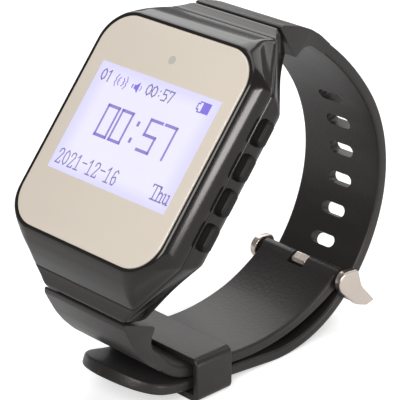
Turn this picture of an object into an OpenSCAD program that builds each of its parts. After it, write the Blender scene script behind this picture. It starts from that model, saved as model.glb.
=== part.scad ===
// Pager watch: a boxy case with a mirror-like lens, a backlit display and four side
// buttons, on a rubber strap that is buckled into a loop. It stands on the keeper and
// the tail of its strap. The watch is drawn in its own frame, with the lens facing +Z,
// 12 o'clock at +Y and the buttons at +X, and is then tipped back onto the floor.

/* [Lens and case] */
// Width of the lens, across the watch
lens_w = 37; // [35:0.5:39]
// Length of the lens, from 6 to 12 o'clock
lens_l = 42.2; // [40:0.5:44]
// Radius of the corners of the lens
lens_r = 6.4; // [4:0.2:8]
// Thickness of the lens
lens_t = 1.2; // [0.8:0.1:1.6]
// Width of the glossy lip round the lens
lip_w = 0.9; // [0.7:0.1:1.4]
// Thickness of the whole case, lens to back
case_t = 14.2; // [13.8:0.1:16]
// How far each side of the case swells out past the lip
side_swell = 1.2; // [0.8:0.1:2]
// How far each end of the case reaches out past the lip
end_reach = 7.1; // [6.4:0.1:8]
// Width of the case where a strap meets it
end_w = 21.8; // [21:0.2:23]
// Thickness of the walls of the case
wall = 1.6; // [1.3:0.1:1.8]
// Fine gap along the seam between the front housing and the rear cover
seam_gap = 0.12; // [0.06:0.02:0.2]

/* [Buttons] */
// Length of a button, along the side
button_l = 5; // [4:0.2:5.6]
// Width of a button, front to back
button_w = 2.2; // [1.8:0.1:2.4]
// Distance from one button to the next
button_pitch = 6.7; // [6.5:0.1:7.2]
// How far a button stands out of the side
button_proud = 1.5; // [1:0.1:2]
// How far a button travels when pressed
button_travel = 0.4; // [0.2:0.05:0.5]

/* [Strap] */
// Width of the strap
strap_w = 20; // [18:0.5:20.5]
// Thickness of the strap
strap_t = 2.2; // [1.8:0.1:2.4]
// Radius of the long edges of the strap
strap_edge = 0.7; // [0.3:0.1:0.8]
// Length of the round end of the strap's tail
tail_round = 8; // [6:0.5:11]
// Number of slots in the long strap
slot_count = 10; // [8:1:11]
// Distance from one slot to the next
slot_pitch = 6.4; // [6.2:0.1:6.6]
// Length of a slot, across the strap
slot_l = 6; // [5:0.2:8]
// Width of a slot, along the strap
slot_w = 2.4; // [2.3:0.1:3]
// Gap between the two straps where they lie in the keeper
strap_gap = 0.4; // [0.3:0.1:0.6]
// Diameter of the spring bars
bar_d = 1.5; // [1.3:0.1:1.8]

/* [Keeper and buckle] */
// Length of the keeper, along the strap
keeper_l = 8.8; // [6:0.2:9.4]
// Thickness of the keeper's walls
keeper_wall = 1.2; // [0.8:0.1:1.4]
// Diameter of the buckle pin
pin_d = 1.5; // [1.2:0.1:1.7]
// Thickness of the buckle's side plates
plate_t = 1.5; // [1:0.1:1.8]
// Reach of the buckle from its pin to the tip
buckle_reach = 10; // [9.6:0.1:11]
// Width of the tongue's blade
tongue_w = 2.6; // [1.6:0.1:3]
// Thickness of the tongue's blade
tongue_t = 1.1; // [0.8:0.1:1.3]

/* [Hidden] */
$fn = 48;

// Colours, as the finished watch shows them
gloss_black = [0.07, 0.07, 0.08];
rubber_black = [0.11, 0.11, 0.11];
mirror_beige = [0.85, 0.81, 0.76];
metal = [0.78, 0.76, 0.73];
board_green = [0.05, 0.30, 0.16];

// Heights in the case, measured down from the face of the lens
lip_z = -0.15;
seam_side_z = -4.8;
seam_end_z = -7.0;
end_top_z = -9.4;
floor_z = wall - case_t;
end_slope = 22;
glue_t = 0.15;
ledge_t = 1.0;
play = 0.1;
skin = 0.05;

// Half sizes of the case
lip_hw = lens_w / 2 + lip_w;
lip_hl = lens_l / 2 + lip_w;
side_hw = lip_hw + side_swell;
end_y = lip_hl + end_reach;
end_hw = end_w / 2;
back_y = end_y - (end_top_z + case_t) * tan(end_slope);
octagon_cut = 2 - sqrt(2);

// Outlines and lofts

// Points of a closed outline whose corners are [x, y, radius]
function rounded(corners, n = 6) = [
    for (i = [0 : len(corners) - 1])
        let (
            p = corners[i],
            a = corners[(i + len(corners) - 1) % len(corners)],
            b = corners[(i + 1) % len(corners)],
            u = unit([a.x - p.x, a.y - p.y]),
            v = unit([b.x - p.x, b.y - p.y]),
            half = acos(max(-1, min(1, u * v))) / 2,
            cut = p[2] / tan(half),
            mid = unit(u + v),
            centre = [p.x, p.y] + mid * p[2] / sin(half),
            from = [p.x, p.y] + u * cut - centre,
            side = from.x * (v * cut + [p.x, p.y] - centre).y
                 - from.y * (v * cut + [p.x, p.y] - centre).x,
            sweep = (side > 0 ? 1 : -1) * (180 - 2 * half)
        )
        for (k = [0 : n]) centre + turned(from, sweep * k / n)
];
function unit(v) = v / norm(v);
function turned(v, a) = [v.x * cos(a) - v.y * sin(a), v.x * sin(a) + v.y * cos(a)];

// Eight-sided outline of the case at one level: half width, half length, half width
// of the end, y where the shoulder starts, corner radius
function case_ring(hw, hl, ehw, sy, r) = rounded([
    [hw, -sy, r], [hw, sy, r], [ehw, hl, r], [-ehw, hl, r],
    [-hw, sy, r], [-hw, -sy, r], [-ehw, -hl, r], [ehw, -hl, r]
], 4);
// The same outline where it is a rectangle with round corners
function round_ring(hw, hl, r) =
    case_ring(hw, hl, hw - r * octagon_cut, hl - r * octagon_cut, r * 0.999);
function oblong(l, w) = rounded([
    [l / 2, -w / 2, w * 0.499], [l / 2, w / 2, w * 0.499],
    [-l / 2, w / 2, w * 0.499], [-l / 2, -w / 2, w * 0.499]
]);

// Solid through a stack of [height, outline], all with as many points
module loft(stack) {
    n = len(stack[0][1]);
    m = len(stack);
    points = [for (s = stack) for (p = s[1]) [p.x, p.y, s[0]]];
    sides = [
        for (j = [0 : m - 2]) for (i = [0 : n - 1])
            let (a = j * n + i, b = j * n + (i + 1) % n)
            each [[a, b + n, b], [a, a + n, b + n]]
    ];
    base = [for (i = [0 : n - 1]) i];
    top = [for (i = [n - 1 : -1 : 0]) (m - 1) * n + i];
    polyhedron(points, [each sides, base, top]);
}

// Outline in the (y, z) plane, extruded along X about the middle of the watch
module across(w) {
    rotate([90, 0, 90]) linear_extrude(w, center = true) children();
}

// Levels of the case, from the back up: height and outline
function case_level(z, hw, hl, ehw, sy, r) = [z, case_ring(hw, hl, ehw, sy, r)];
function end_at(z) = end_y - (end_top_z - z) * tan(end_slope);
case_levels = [
    case_level(-case_t, side_hw - 6.0, back_y - 0.4, end_hw - 1.2, lip_hl - 10.5, 2.5),
    case_level(0.6 - case_t, side_hw - 5.0, end_at(0.6 - case_t), end_hw - 0.4, lip_hl - 10, 2.5),
    case_level(-12, side_hw - 2.9, end_at(-12), end_hw, lip_hl - 8.8, 2.5),
    case_level(-9.9, side_hw - 0.75, end_at(-9.9), end_hw, lip_hl - 7.7, 1.8),
    case_level(-9.0, side_hw - 0.2, end_y - 0.15, end_hw + 0.1, lip_hl - 7.3, 1.6),
    case_level(-8.2, side_hw, end_y - 1.15, end_hw + 1.1, lip_hl - 6.8, 1.8),
    case_level(-7.0, side_hw, end_y - 2.55, end_hw + 2.6, lip_hl - 6.1, 1.8),
    case_level(-3.8, side_hw - 0.2, end_y - 4.0, end_hw + 2.7, lip_hl - 4.9, 2.0),
    case_level(-2.2, side_hw - 0.45, end_y - 5.4, end_hw + 3.7, lip_hl - 4.4, 4.5),
    case_level(-0.9, side_hw - 0.85, end_y - 6.6, end_hw + 4.2, lip_hl - 4.1, 6.4),
    case_level(lip_z - 0.25, lip_hw + 0.05, lip_hl + 0.05, end_hw + 4.4, lip_hl - 4.0, 6.6),
    case_level(lip_z, lip_hw - 0.25, lip_hl - 0.25, end_hw + 4.2, lip_hl - 4.2, 6.6)
];

module case_solid() {
    loft(case_levels);
}

// Hollow of the case: a straight-sided room from the ledge down, narrower by the floor
room_hw = side_hw - wall;
room_hl = lip_hl - 0.6;
room_shoulder = lip_hl - 6.8;
low_room_hw = side_hw - 3.9 - wall;
low_room_hl = room_hl - 0.4;
low_room_z = -9.8;
function room_ring(grow = 0) = case_ring(
    room_hw + grow, room_hl + grow, end_hw + 2 + grow * 0.4, room_shoulder + grow * 0.4, 3
);
module prism(low, high) {
    translate([0, 0, low]) linear_extrude(high - low) children();
}
module case_hollow() {
    prism(low_room_z, -lens_t - glue_t - ledge_t) polygon(room_ring());
    prism(floor_z, low_room_z + 1)
        polygon(case_ring(low_room_hw, low_room_hl, end_hw - 1.5, lip_hl - 10, 3));
}

// Height of the seam along the watch: level past the buttons, lower at the ends
seam_bend_y = [lip_hl - 9, end_y - 3];
function seam_line(lift) = [
    [-50, seam_end_z + lift], [-seam_bend_y[1], seam_end_z + lift],
    [-seam_bend_y[0], seam_side_z + lift], [seam_bend_y[0], seam_side_z + lift],
    [seam_bend_y[1], seam_end_z + lift], [50, seam_end_z + lift]
];
module above_seam(lift) {
    across(100) polygon([each seam_line(lift), [50, 20], [-50, 20]]);
}
module below_seam(lift) {
    across(100) polygon([each seam_line(lift), [50, -40], [-50, -40]]);
}

// The gasket lies in a channel in the wall, along the seam
gasket_h = 0.8;
gasket_w = 0.7;
module gasket_ring(grow = 0, inner = 0) {
    intersection() {
        prism(-12, 0) difference() {
            polygon(room_ring(gasket_w + grow));
            polygon(room_ring(-inner));
        }
        above_seam(-gasket_h / 2 - grow);
        below_seam(gasket_h / 2 + grow);
    }
}

// Case screws, which pull the rear cover up to the front housing
screw_x = room_hw - 8.6;
screw_y = room_hl - 3;
screw_r = 0.8;
screw_hole_l = 5.2;
screw_head_r = 1.45;
screw_head_t = 1.1;
post_r = 2.1;
post_z = -8;
module at_screws() {
    for (x = [-screw_x, screw_x], y = [-screw_y, screw_y]) translate([x, y, 0]) children();
}

// Spring bar seats, in each end of the case
bar_inset = 3;
bar_y = end_y - bar_inset;
bar_z = -12.0;
bar_tip_d = bar_d * 0.55;
bar_tip_l = 1.1;
lug_w = strap_w * 0.78;
tongue_r = 1.9;
seat_play = 0.15;
module bar_seat() {
    seat_w = lug_w + 2 * seat_play;
    translate([0, bar_y, bar_z]) {
        rotate([0, 90, 0]) cylinder(r = tongue_r + seat_play, h = seat_w, center = true);
        translate([-seat_w / 2, 0, -tongue_r - 5])
            cube([seat_w, 6, 5 + 2 * tongue_r + seat_play]);
        translate([-seat_w / 2, -tongue_r - seat_play, -6]) cube([seat_w, tongue_r + 1, 6]);
        rotate([0, 90, 0])
            cylinder(d = bar_tip_d + skin, h = seat_w + 2 * bar_tip_l, center = true);
    }
}
module at_ends() {
    for (turn = [0, 180]) rotate([0, 0, turn]) children();
}

// Display and board, from the lens down
glass_gap = 0.15;
panel_margin = 1.9;
panel_w = lens_w - 2 * panel_margin;
panel_l = 25.4;
panel_y = 0.4;
panel_t = 1.6;
light_t = 1.0;
frame_wall = 0.8;
board_t = 0.8;
panel_z = -lens_t - glass_gap;
light_z = panel_z - panel_t;
frame_z = light_z - light_t;
board_z = frame_z - 0.8;
parts_z = board_z - board_t;
ledge_hw = lens_w / 2 - 1.6;
ledge_hl = lens_l / 2 - 1.9;
ledge_r = lens_r - 1.8;

// Side buttons and their switches
button_z = -6.75;
flange_t = 0.8;
flange_x = room_hw - skin - flange_t;
stem_r = 0.6;
stem_l = 2.1;
switch_l = 3.2;
switch_x = flange_x - 0.8;
function button_y(i) = (2.5 - i) * button_pitch;

module along_x(x, y) {
    translate([x, y, button_z]) rotate([90, 0, 90]) children();
}

// Charging socket, in the 9 o'clock side
socket_w = 7.6;
socket_h = 2.5;
socket_l = 5.6;
socket_z = parts_z - socket_h / 2;
socket_x = -side_hw + 0.5;

module front_housing() {
    color(gloss_black) difference() {
        union() {
            difference() {
                intersection() {
                    case_solid();
                    above_seam(seam_gap / 2);
                }
                case_hollow();
            }
            at_screws() translate([0, 0, post_z + skin])
                cylinder(r = post_r, h = -post_z - 1.9);
        }
        lens_pocket();
        at_screws() translate([0, 0, post_z - 1])
            cylinder(r = screw_r + 0.03, h = screw_hole_l);
        gasket_ring(skin, 0.4);
    }
}
module lens_pocket() {
    prism(-lens_t - glue_t, 1)
        polygon(round_ring(lens_w / 2 + play, lens_l / 2 + play, lens_r + play));
    prism(-lens_t - glue_t - 2, 0) polygon(round_ring(ledge_hw, ledge_hl, ledge_r));
}

module rear_cover() {
    color(gloss_black) difference() {
        union() {
            difference() {
                intersection() {
                    case_solid();
                    below_seam(-seam_gap / 2);
                }
                case_hollow();
            }
            at_screws() translate([0, 0, -case_t + 0.5])
                cylinder(r = post_r, h = case_t - 0.5 + post_z);
        }
        at_ends() bar_seat();
        for (i = [1 : 4]) along_x(room_hw - 1, button_y(i))
            linear_extrude(5) polygon(oblong(button_l + 2 * play, button_w + 2 * play));
        translate([-side_hw - 1, -socket_w / 2 - play, socket_z - socket_h / 2 - play])
            cube([6, socket_w + 2 * play, socket_h + 2 * play]);
        at_screws() {
            translate([0, 0, -case_t - 1]) cylinder(r = screw_r + play, h = 12);
            translate([0, 0, -case_t - 1])
                cylinder(r = screw_head_r + play, h = 1 + screw_head_t + 0.2);
        }
        gasket_ring(skin, 0.4);
    }
}

module housing_gasket() {
    color("dimgray") gasket_ring();
}

module lens() {
    color(mirror_beige) loft([
        [-lens_t, round_ring(lens_w / 2, lens_l / 2, lens_r)],
        [-0.15, round_ring(lens_w / 2, lens_l / 2, lens_r)],
        [0, round_ring(lens_w / 2 - 0.15, lens_l / 2 - 0.15, lens_r - 0.15)]
    ]);
}

module lens_adhesive() {
    color("black") prism(-lens_t - glue_t, -lens_t) difference() {
        polygon(round_ring(lens_w / 2, lens_l / 2, lens_r));
        polygon(round_ring(ledge_hw, ledge_hl, ledge_r));
    }
}

module display_panel() {
    color("lavender") translate([0, panel_y, light_z + panel_t / 2])
        cube([panel_w, panel_l, panel_t], center = true);
}

module backlight() {
    color("white") translate([0, panel_y, frame_z + light_t / 2])
        cube([panel_w, panel_l, light_t], center = true);
}

// Tray that holds the display and its light down on the board
module display_frame() {
    low = board_z;
    high = -lens_t - glue_t - ledge_t - 2 * play;
    color("gainsboro") translate([0, panel_y, 0]) difference() {
        translate([-panel_w / 2 - frame_wall, -panel_l / 2 - frame_wall, low])
            cube([panel_w + 2 * frame_wall, panel_l + 2 * frame_wall, high - low]);
        translate([-panel_w / 2 - skin, -panel_l / 2 - skin, frame_z])
            cube([panel_w + 2 * skin, panel_l + 2 * skin, 5]);
        translate([-panel_w / 2 + 2, -panel_l / 2 + 2, low - 1])
            cube([panel_w - 4, panel_l - 4, 5]);
    }
}

// Printed cable from the lower edge of the display round to the board
module display_flex() {
    flex_t = 0.2;
    flex_w = 14;
    from_y = panel_y - panel_l / 2;
    to_y = from_y - frame_wall - 2.2;
    top = light_z + panel_t / 2 + 0.5;
    color("darkorange") across(flex_w) polygon([
        [from_y, top], [to_y, top], [to_y, board_z], [to_y + 1.8, board_z],
        [to_y + 1.8, board_z + flex_t], [to_y + flex_t, board_z + flex_t],
        [to_y + flex_t, top - flex_t], [from_y, top - flex_t]
    ]);
}

// Light pipe for the signal lamp, just beyond the display's tray
pipe_r = 1;
pipe_gap = 0.5;
module status_light() {
    pipe_y = panel_y + panel_l / 2 + frame_wall + pipe_gap + pipe_r;
    color("lightgray") translate([0.3, pipe_y, board_z])
        cylinder(r = pipe_r, h = panel_z - board_z);
}

module main_board() {
    color(board_green) difference() {
        prism(board_z - board_t, board_z)
            polygon(case_ring(room_hw - 1.6, room_hl - 1, end_hw + 1.4, room_shoulder - 1, 3));
        at_screws() translate([0, 0, board_z - 5]) cylinder(r = post_r + play, h = 10);
    }
}

module radio_shield() {
    color("silver") translate([-4, 3, parts_z]) difference() {
        translate([-6, -6, -1.8]) cube([12, 12, 1.8]);
        translate([-5.8, -5.8, -1.6]) cube([11.6, 11.6, 2]);
    }
}

// Receiving coil: a wire wound round along X, with a lead up to the board at each end
coil_r = 1.9;
wire_r = 0.3;
coil_turns = 6;
coil_pitch = 1.8;
coil_steps = 10;
coil_wall_gap = 1.6;
coil_centre = [0, coil_r + wire_r + coil_wall_gap - room_hl, -9.4];
function coil_point(t) = [
    (t - coil_turns / 2) * coil_pitch,
    coil_centre.y + coil_r * sin(360 * t),
    coil_centre.z + coil_r * cos(360 * t)
];
module antenna_coil() {
    steps = coil_turns * coil_steps;
    sides = 5;
    path = [for (i = [0 : steps]) coil_point(i / coil_steps)];
    color("goldenrod") {
        polyhedron(
            [for (i = [0 : steps]) for (k = [0 : sides - 1])
                let (
                    a = 360 * i / coil_steps,
                    out = [0, sin(a), cos(a)],
                    side = [1, 0, 0]
                )
                path[i] + wire_r * (out * cos(360 * k / sides) + side * sin(360 * k / sides))],
            [
                for (i = [0 : steps - 1]) for (k = [0 : sides - 1])
                    let (a = i * sides + k, b = i * sides + (k + 1) % sides)
                    each [[a, a + sides, b + sides], [a, b + sides, b]],
                [for (k = [0 : sides - 1]) k],
                [for (k = [sides - 1 : -1 : 0]) steps * sides + k]
            ]
        );
        for (end = [path[0], path[steps]])
            translate([end.x, end.y, end.z]) cylinder(r = wire_r, h = parts_z - end.z);
    }
}

module charging_socket() {
    color("silver") translate([socket_x, -socket_w / 2, parts_z - socket_h]) difference() {
        cube([socket_l, socket_w, socket_h]);
        translate([-1, 0.3, 0.3]) cube([socket_l + 0.4, socket_w - 0.6, socket_h - 0.6]);
    }
    color("black") translate([socket_x + 0.8, -socket_w / 2 + 1.4, parts_z - socket_h / 2 - 0.3])
        cube([socket_l - 1, socket_w - 2.8, 0.6]);
}

// Motor against the 12 o'clock wall of the room, and the battery up to the motor
part_gap = 0.2;
motor_r = 4;
motor_y = low_room_hl - part_gap - motor_r;
battery_t = 4;
battery_hw = low_room_hw - 4.5;
battery_hl = motor_y - motor_r - part_gap;
pad_t = 0.4;
pad_inset = 1.6;
module battery() {
    color("silver") prism(floor_z + pad_t, floor_z + pad_t + battery_t)
        polygon(round_ring(battery_hw, battery_hl, 1.2));
}

module battery_pad() {
    color("gray") translate([pad_inset - battery_hw, pad_inset - battery_hl, floor_z])
        cube([2 * (battery_hw - pad_inset), 2 * (battery_hl - pad_inset), pad_t]);
}

module vibration_motor() {
    color("silver") translate([0, motor_y, floor_z]) {
        cylinder(r = motor_r, h = 2.4);
        cylinder(r = motor_r - 1.5, h = 2.7);
    }
}

buzzer_r = 3.8;
buzzer_gap = 0.6;
module buzzer() {
    color("black") translate([0, room_hl - buzzer_gap - buzzer_r, parts_z - 2]) difference() {
        cylinder(r = buzzer_r, h = 2);
        translate([0, 0, -1]) cylinder(d = 1.6, h = 1.6);
    }
}

module side_switches() {
    color("silver") for (i = [1 : 4]) difference() {
        translate([switch_x - switch_l, button_y(i) - 2, button_z - 1.4])
            cube([switch_l, 4, parts_z - button_z + 1.4]);
        along_x(flange_x - stem_l - button_travel - 0.2, button_y(i))
            cylinder(r = stem_r + 0.08, h = stem_l + 1);
    }
}

module switch_stem(i) {
    color("ivory") along_x(flange_x - stem_l, button_y(i)) cylinder(r = stem_r, h = stem_l);
}

// A button: rounded cap outside, flange inside the wall to keep it in
module button(i) {
    soft = 0.35;
    cap_x = side_hw + button_proud - flange_x;
    color(rubber_black) along_x(flange_x, button_y(i)) loft([
        [0, oblong(button_l + 1, button_w + 1)],
        [flange_t, oblong(button_l + 1, button_w + 1)],
        [flange_t + 0.001, oblong(button_l, button_w)],
        [cap_x - soft, oblong(button_l, button_w)],
        [cap_x - soft * 0.3, oblong(button_l - soft * 0.6, button_w - soft * 0.6)],
        [cap_x, oblong(button_l - soft * 2, button_w - soft * 2)]
    ]);
}

module case_screws() {
    color("silver") at_screws() translate([0, 0, -case_t + 0.15]) difference() {
        union() {
            cylinder(r = screw_head_r, h = screw_head_t);
            cylinder(r = screw_r, h = 9);
        }
        for (turn = [0, 90]) rotate([0, 0, turn]) translate([0, 0, 0.1])
            cube([1.7, 0.4, 1], center = true);
    }
}

// Strap ends and spring bars

module spring_bar() {
    color(metal) translate([0, bar_y, bar_z]) rotate([0, 90, 0]) {
        cylinder(d = bar_d, h = lug_w, center = true);
        cylinder(d = bar_tip_d, h = lug_w + 2 * seat_play + 2 * bar_tip_l - 0.2, center = true);
    }
}

// Straps: each runs along a line of arcs in the (y, z) plane, [length, turn] each

// Where the strap's line starts at the 12 o'clock end, and its heading there. The loop
// grows with the length of the case.
strap_start = [end_y + 1.7, end_top_z - 5.0];
strap_heading = -76.3;
loop_size = strap_start.x / 30.8;
long_bends = [
    [26.4 * loop_size, -29.4], [24.7 * loop_size, -49.5], [18.6 * loop_size, -32.5],
    [21.3 * loop_size, -47.9], [21.2 * loop_size, 0], [13.3 * loop_size, -25]
];
bend_steps = 10;

// Points [y, z, heading, length so far] along a line of arcs
function run(p, bends, i = 0) =
    i == len(bends) ? [p] :
    let (
        n = bends[i][1] == 0 ? 2 : bend_steps,
        part = arc_run(p, bends[i][0] / n, bends[i][1] / n, n)
    )
    [p, each [for (k = [1 : n - 1]) part[k]], each run(part[n], bends, i + 1)];
function arc_run(p, step, turn, n) =
    n == 0 ? [p] : [p, each arc_run(stepped(p, step, turn), step, turn, n - 1)];
function stepped(p, step, turn) = [
    p[0] + step * cos(p[2] + turn / 2), p[1] + step * sin(p[2] + turn / 2),
    p[2] + turn, p[3] + step
];

// Point of a run at a given length along it
function at_length(path, s, i = 0) =
    i >= len(path) - 2 || path[i + 1][3] >= s
        ? let (f = (s - path[i][3]) / (path[i + 1][3] - path[i][3]))
          path[i] + (path[i + 1] - path[i]) * f
        : at_length(path, s, i + 1);
function inward(p) = [sin(p[2]), -cos(p[2])];
function place(p) = [p[0], p[1]];

long_path = run([strap_start.x, strap_start.y, strap_heading, 0], long_bends);
long_length = long_path[len(long_path) - 1][3];

// The slot in use, where the tongue goes through
used_slot = 7;
used_s = 67.6 * loop_size;
used_point = at_length(long_path, used_s);

// Rolled end of the short strap, round the buckle pin
roll_r = 1.75;
roll_gap = 0.6;
pin_at = place(used_point) + inward(used_point) * (strap_t / 2 + roll_gap + roll_r);

// Straight stretch of the tail, beside which the keeper holds the short strap
tail_s = long_bends[0][0] + long_bends[1][0] + long_bends[2][0] + long_bends[3][0];
tail_point = at_length(long_path, tail_s + long_bends[4][0] / 2);
stack_step = strap_t + strap_gap;

// Short strap: down from the case, round into line with the tail, then to the pin
short_turn_1 = 12.7;
short_arc = 10.2 * loop_size;
short_bend_r = 12 * loop_size;
short_start = [-strap_start.x, strap_start.y, -180 - strap_heading, 0];
short_turn_2 = tail_point[2] + 180 - short_start[2] - short_turn_1;
short_bend_l = short_bend_r * short_turn_2 * PI / 180;
keeper_run = 10.5 * loop_size;
short_free = run(short_start, [[short_arc, short_turn_1], [short_bend_l, short_turn_2]]);
short_free_end = short_free[len(short_free) - 1];
drop_heading = short_start[2] + short_turn_1;
drop = ((place(short_free_end) - place(tail_point)) * inward(tail_point) - stack_step)
     / -([cos(drop_heading), sin(drop_heading)] * inward(tail_point));
short_held = run(short_start, [
    [short_arc, short_turn_1], [max(drop, 0.01), 0], [short_bend_l, short_turn_2],
    [keeper_run, 0]
]);
held_end = short_held[len(short_held) - 1];
to_pin = pin_at - place(held_end);
last_turn = 2 * (atan2(to_pin.y, to_pin.x) - held_end[2]);
last_l = norm(to_pin) * (last_turn / 2 * PI / 180) / sin(last_turn / 2);
last_arc = arc_run(held_end, last_l / bend_steps, last_turn / bend_steps, bend_steps);
short_path = [each short_held, each [for (k = [1 : bend_steps]) last_arc[k]]];

// Half width of the long strap, which ends in a round tail
function long_half_w(s) =
    let (past = max(0, s - long_length + tail_round) / tail_round)
    strap_w / 2 * sqrt(max(0.02, 1 - past * past));
tail_steps = [0.35, 0.6, 0.78, 0.9, 0.97, 1];
long_rings = [
    for (p = long_path) if (p[3] < long_length - tail_round) p,
    for (f = [0, each tail_steps]) at_length(long_path, long_length - tail_round * (1 - f))
];

// Rubber band swept along its line: section with softened long edges
module band(rings, half_w) {
    h = strap_t / 2;
    e = strap_edge;
    corner = [[0, e], [e * 0.3, e * 0.3], [e, 0]];
    section = [
        for (c = corner) [1, c.x, h - c.y],
        for (c = [corner[2], corner[1], corner[0]]) [-1, c.x, h - c.y],
        for (c = corner) [-1, c.x, c.y - h],
        for (c = [corner[2], corner[1], corner[0]]) [1, c.x, c.y - h]
    ];
    n = len(section);
    m = len(rings);
    points = [
        for (r = rings) for (q = section)
            let (w = half_w(r[3]), p = place(r) + inward(r) * q[2])
            [q[0] * max(0.1, w - q[1]), p.x, p.y]
    ];
    sides = [
        for (j = [0 : m - 2]) for (i = [0 : n - 1])
            let (a = j * n + i, b = j * n + (i + 1) % n)
            each [[a, a + n, b + n], [a, b + n, b]]
    ];
    polyhedron(points, [
        each sides,
        [for (i = [0 : n - 1]) i],
        [for (i = [n - 1 : -1 : 0]) (m - 1) * n + i]
    ]);
}

// Thick end of a strap: it covers the end of the case and holds the spring bar.
// Drawn for the 12 o'clock end.
block_gap = 0.2;
block_deep = 7.3;
module strap_block() {
    face = [-sin(end_slope), -cos(end_slope)];
    top = [end_y + block_gap, end_top_z];
    low = top + face * block_deep;
    near = strap_start - inward([0, 0, strap_heading]) * strap_t / 2;
    far = at_length(long_path, 10);
    intersection() {
        union() {
            across(end_w) polygon(rounded([
                [top.x, top.y, 0.3], [top.x + 0.9, top.y - 0.7, 1.2],
                [near.x + 0.35, near.y - 0.5, 12], [near.x + 1.1, near.y - 3.25, 12],
                [near.x + 1.5, near.y - 6.25, 12],
                [far[0] - inward(far).x * strap_t / 2, far[1], 0.1],
                [far[0] + inward(far).x * strap_t / 2, far[1], 0.1],
                [low.x + 3.9, low.y - 1.8, 3],
                [low.x + 0.2, low.y - 1.0, 0.7]
            ]));
            across(lug_w) {
                translate([bar_y, bar_z]) circle(r = tongue_r);
                translate([bar_y, bar_z - tongue_r]) square([4, 2 * tongue_r]);
            }
        }
        block_plan();
    }
}
// Seen from the front, the block narrows from the case to the strap
module block_plan() {
    rotate([90, 0, 0]) linear_extrude(200, center = true) polygon([
        [-end_w / 2, 0], [end_w / 2, 0], [end_w / 2, end_top_z - 2.5],
        [strap_w / 2, strap_start.y - 9], [strap_w / 2, -60],
        [-strap_w / 2, -60], [-strap_w / 2, strap_start.y - 9], [-end_w / 2, end_top_z - 2.5]
    ]);
}
module bar_bore() {
    translate([0, bar_y, bar_z]) rotate([0, 90, 0])
        cylinder(d = bar_d + 2 * skin, h = 60, center = true);
}

module strap_slot(s) {
    p = at_length(long_path, s);
    translate([0, p[0], p[1]]) rotate([p[2], 0, 0]) linear_extrude(3 * strap_t, center = true)
        polygon(oblong(slot_l, slot_w));
}

module long_strap() {
    color(rubber_black) difference() {
        union() {
            band(long_rings, function(s) long_half_w(s));
            strap_block();
        }
        bar_bore();
        for (i = [1 : slot_count]) strap_slot(used_s + (i - used_slot) * slot_pitch);
    }
}

// Width of the notch that lets the tongue turn on the pin
notch_w = tongue_w + 1.4;
module short_strap() {
    color(rubber_black) difference() {
        union() {
            band(short_path, function(s) strap_w / 2);
            translate([0, pin_at.x, pin_at.y]) rotate([0, 90, 0])
                cylinder(r = roll_r, h = strap_w, center = true);
            mirror([0, 1, 0]) strap_block();
        }
        mirror([0, 1, 0]) bar_bore();
        translate([0, pin_at.x, pin_at.y]) rotate([0, 90, 0]) {
            cylinder(d = pin_d + 2 * skin, h = 60, center = true);
            cylinder(r = roll_r + 0.8, h = notch_w, center = true);
        }
    }
}

// Keeper: a loose rubber loop round both straps, drawn along its own straight line
keeper_slack = 1.0;
keeper_side = 0.7;
keeper_lean = 5.5;
keeper_touch = 0.12 + keeper_l / 2 * sin(keeper_lean);
keeper_point = at_length(short_held, held_end[3] - keeper_run + keeper_l / 2 - 1.4);
keeper_angle = keeper_point[2] + keeper_lean;
module in_keeper_frame() {
    translate([0, keeper_point[0], keeper_point[1]]) rotate([keeper_angle, 0, 0]) children();
}
module strap_keeper() {
    low = -strap_t / 2 - stack_step - keeper_touch;
    high = strap_t / 2 + keeper_slack;
    mid = (low + high) / 2;
    w = strap_w + 2 * keeper_side;
    h = high - low;
    color(rubber_black) in_keeper_frame() translate([0, keeper_l / 2, mid]) rotate([90, 0, 0])
        difference() {
            loft([
                [0, keeper_ring(w + 2 * keeper_wall - 0.6, h + 2 * keeper_wall - 0.6, 1.2)],
                [0.4, keeper_ring(w + 2 * keeper_wall, h + 2 * keeper_wall, 1.5)],
                [keeper_l - 0.4, keeper_ring(w + 2 * keeper_wall, h + 2 * keeper_wall, 1.5)],
                [keeper_l, keeper_ring(w + 2 * keeper_wall - 0.6, h + 2 * keeper_wall - 0.6, 1.2)]
            ]);
            translate([0, 0, -1]) linear_extrude(keeper_l + 2) polygon(keeper_ring(w, h, 0.5));
        }
}
function keeper_ring(w, h, r) =
    rounded([[w / 2, -h / 2, r], [w / 2, h / 2, r], [-w / 2, h / 2, r], [-w / 2, -h / 2, r]]);

// Buckle: two fin-shaped side plates joined by a crossbar beyond the long strap
plate_x = strap_w / 2 + 0.7;
bar_in = strap_t + roll_gap + roll_r + 0.55;
bar_face = -tongue_t / 2 - skin;
module at_pin() {
    translate([0, pin_at.x, pin_at.y]) children();
}
function fin() = rounded([
    [2.9, -0.9, 1.2], [0.6, -4.6, 5], [-0.15, -buckle_reach, 0.3],
    [-1.9, -buckle_reach + 1.4, 1.2], [-2.9, -5.8, 1.2], [-2.6, 1.2, 1.6], [0.4, 2.9, 1.6]
]);
module buckle_frame() {
    color(metal) at_pin() difference() {
        union() {
            for (side = [-1, 1]) translate([side * (plate_x + plate_t / 2), 0, 0])
                across(plate_t) polygon(fin());
            across(2 * plate_x + plate_t) intersection() {
                polygon(fin());
                translate([-10, -buckle_reach + 0.8])
                    square([10 + bar_face, buckle_reach - bar_in - 0.8]);
            }
        }
        rotate([0, 90, 0]) cylinder(d = pin_d + 2 * skin, h = 60, center = true);
    }
}

module buckle_pin() {
    color(metal) at_pin() rotate([0, 90, 0]) {
        cylinder(d = pin_d, h = 2 * (plate_x + plate_t) + 0.3, center = true);
    }
}

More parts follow.
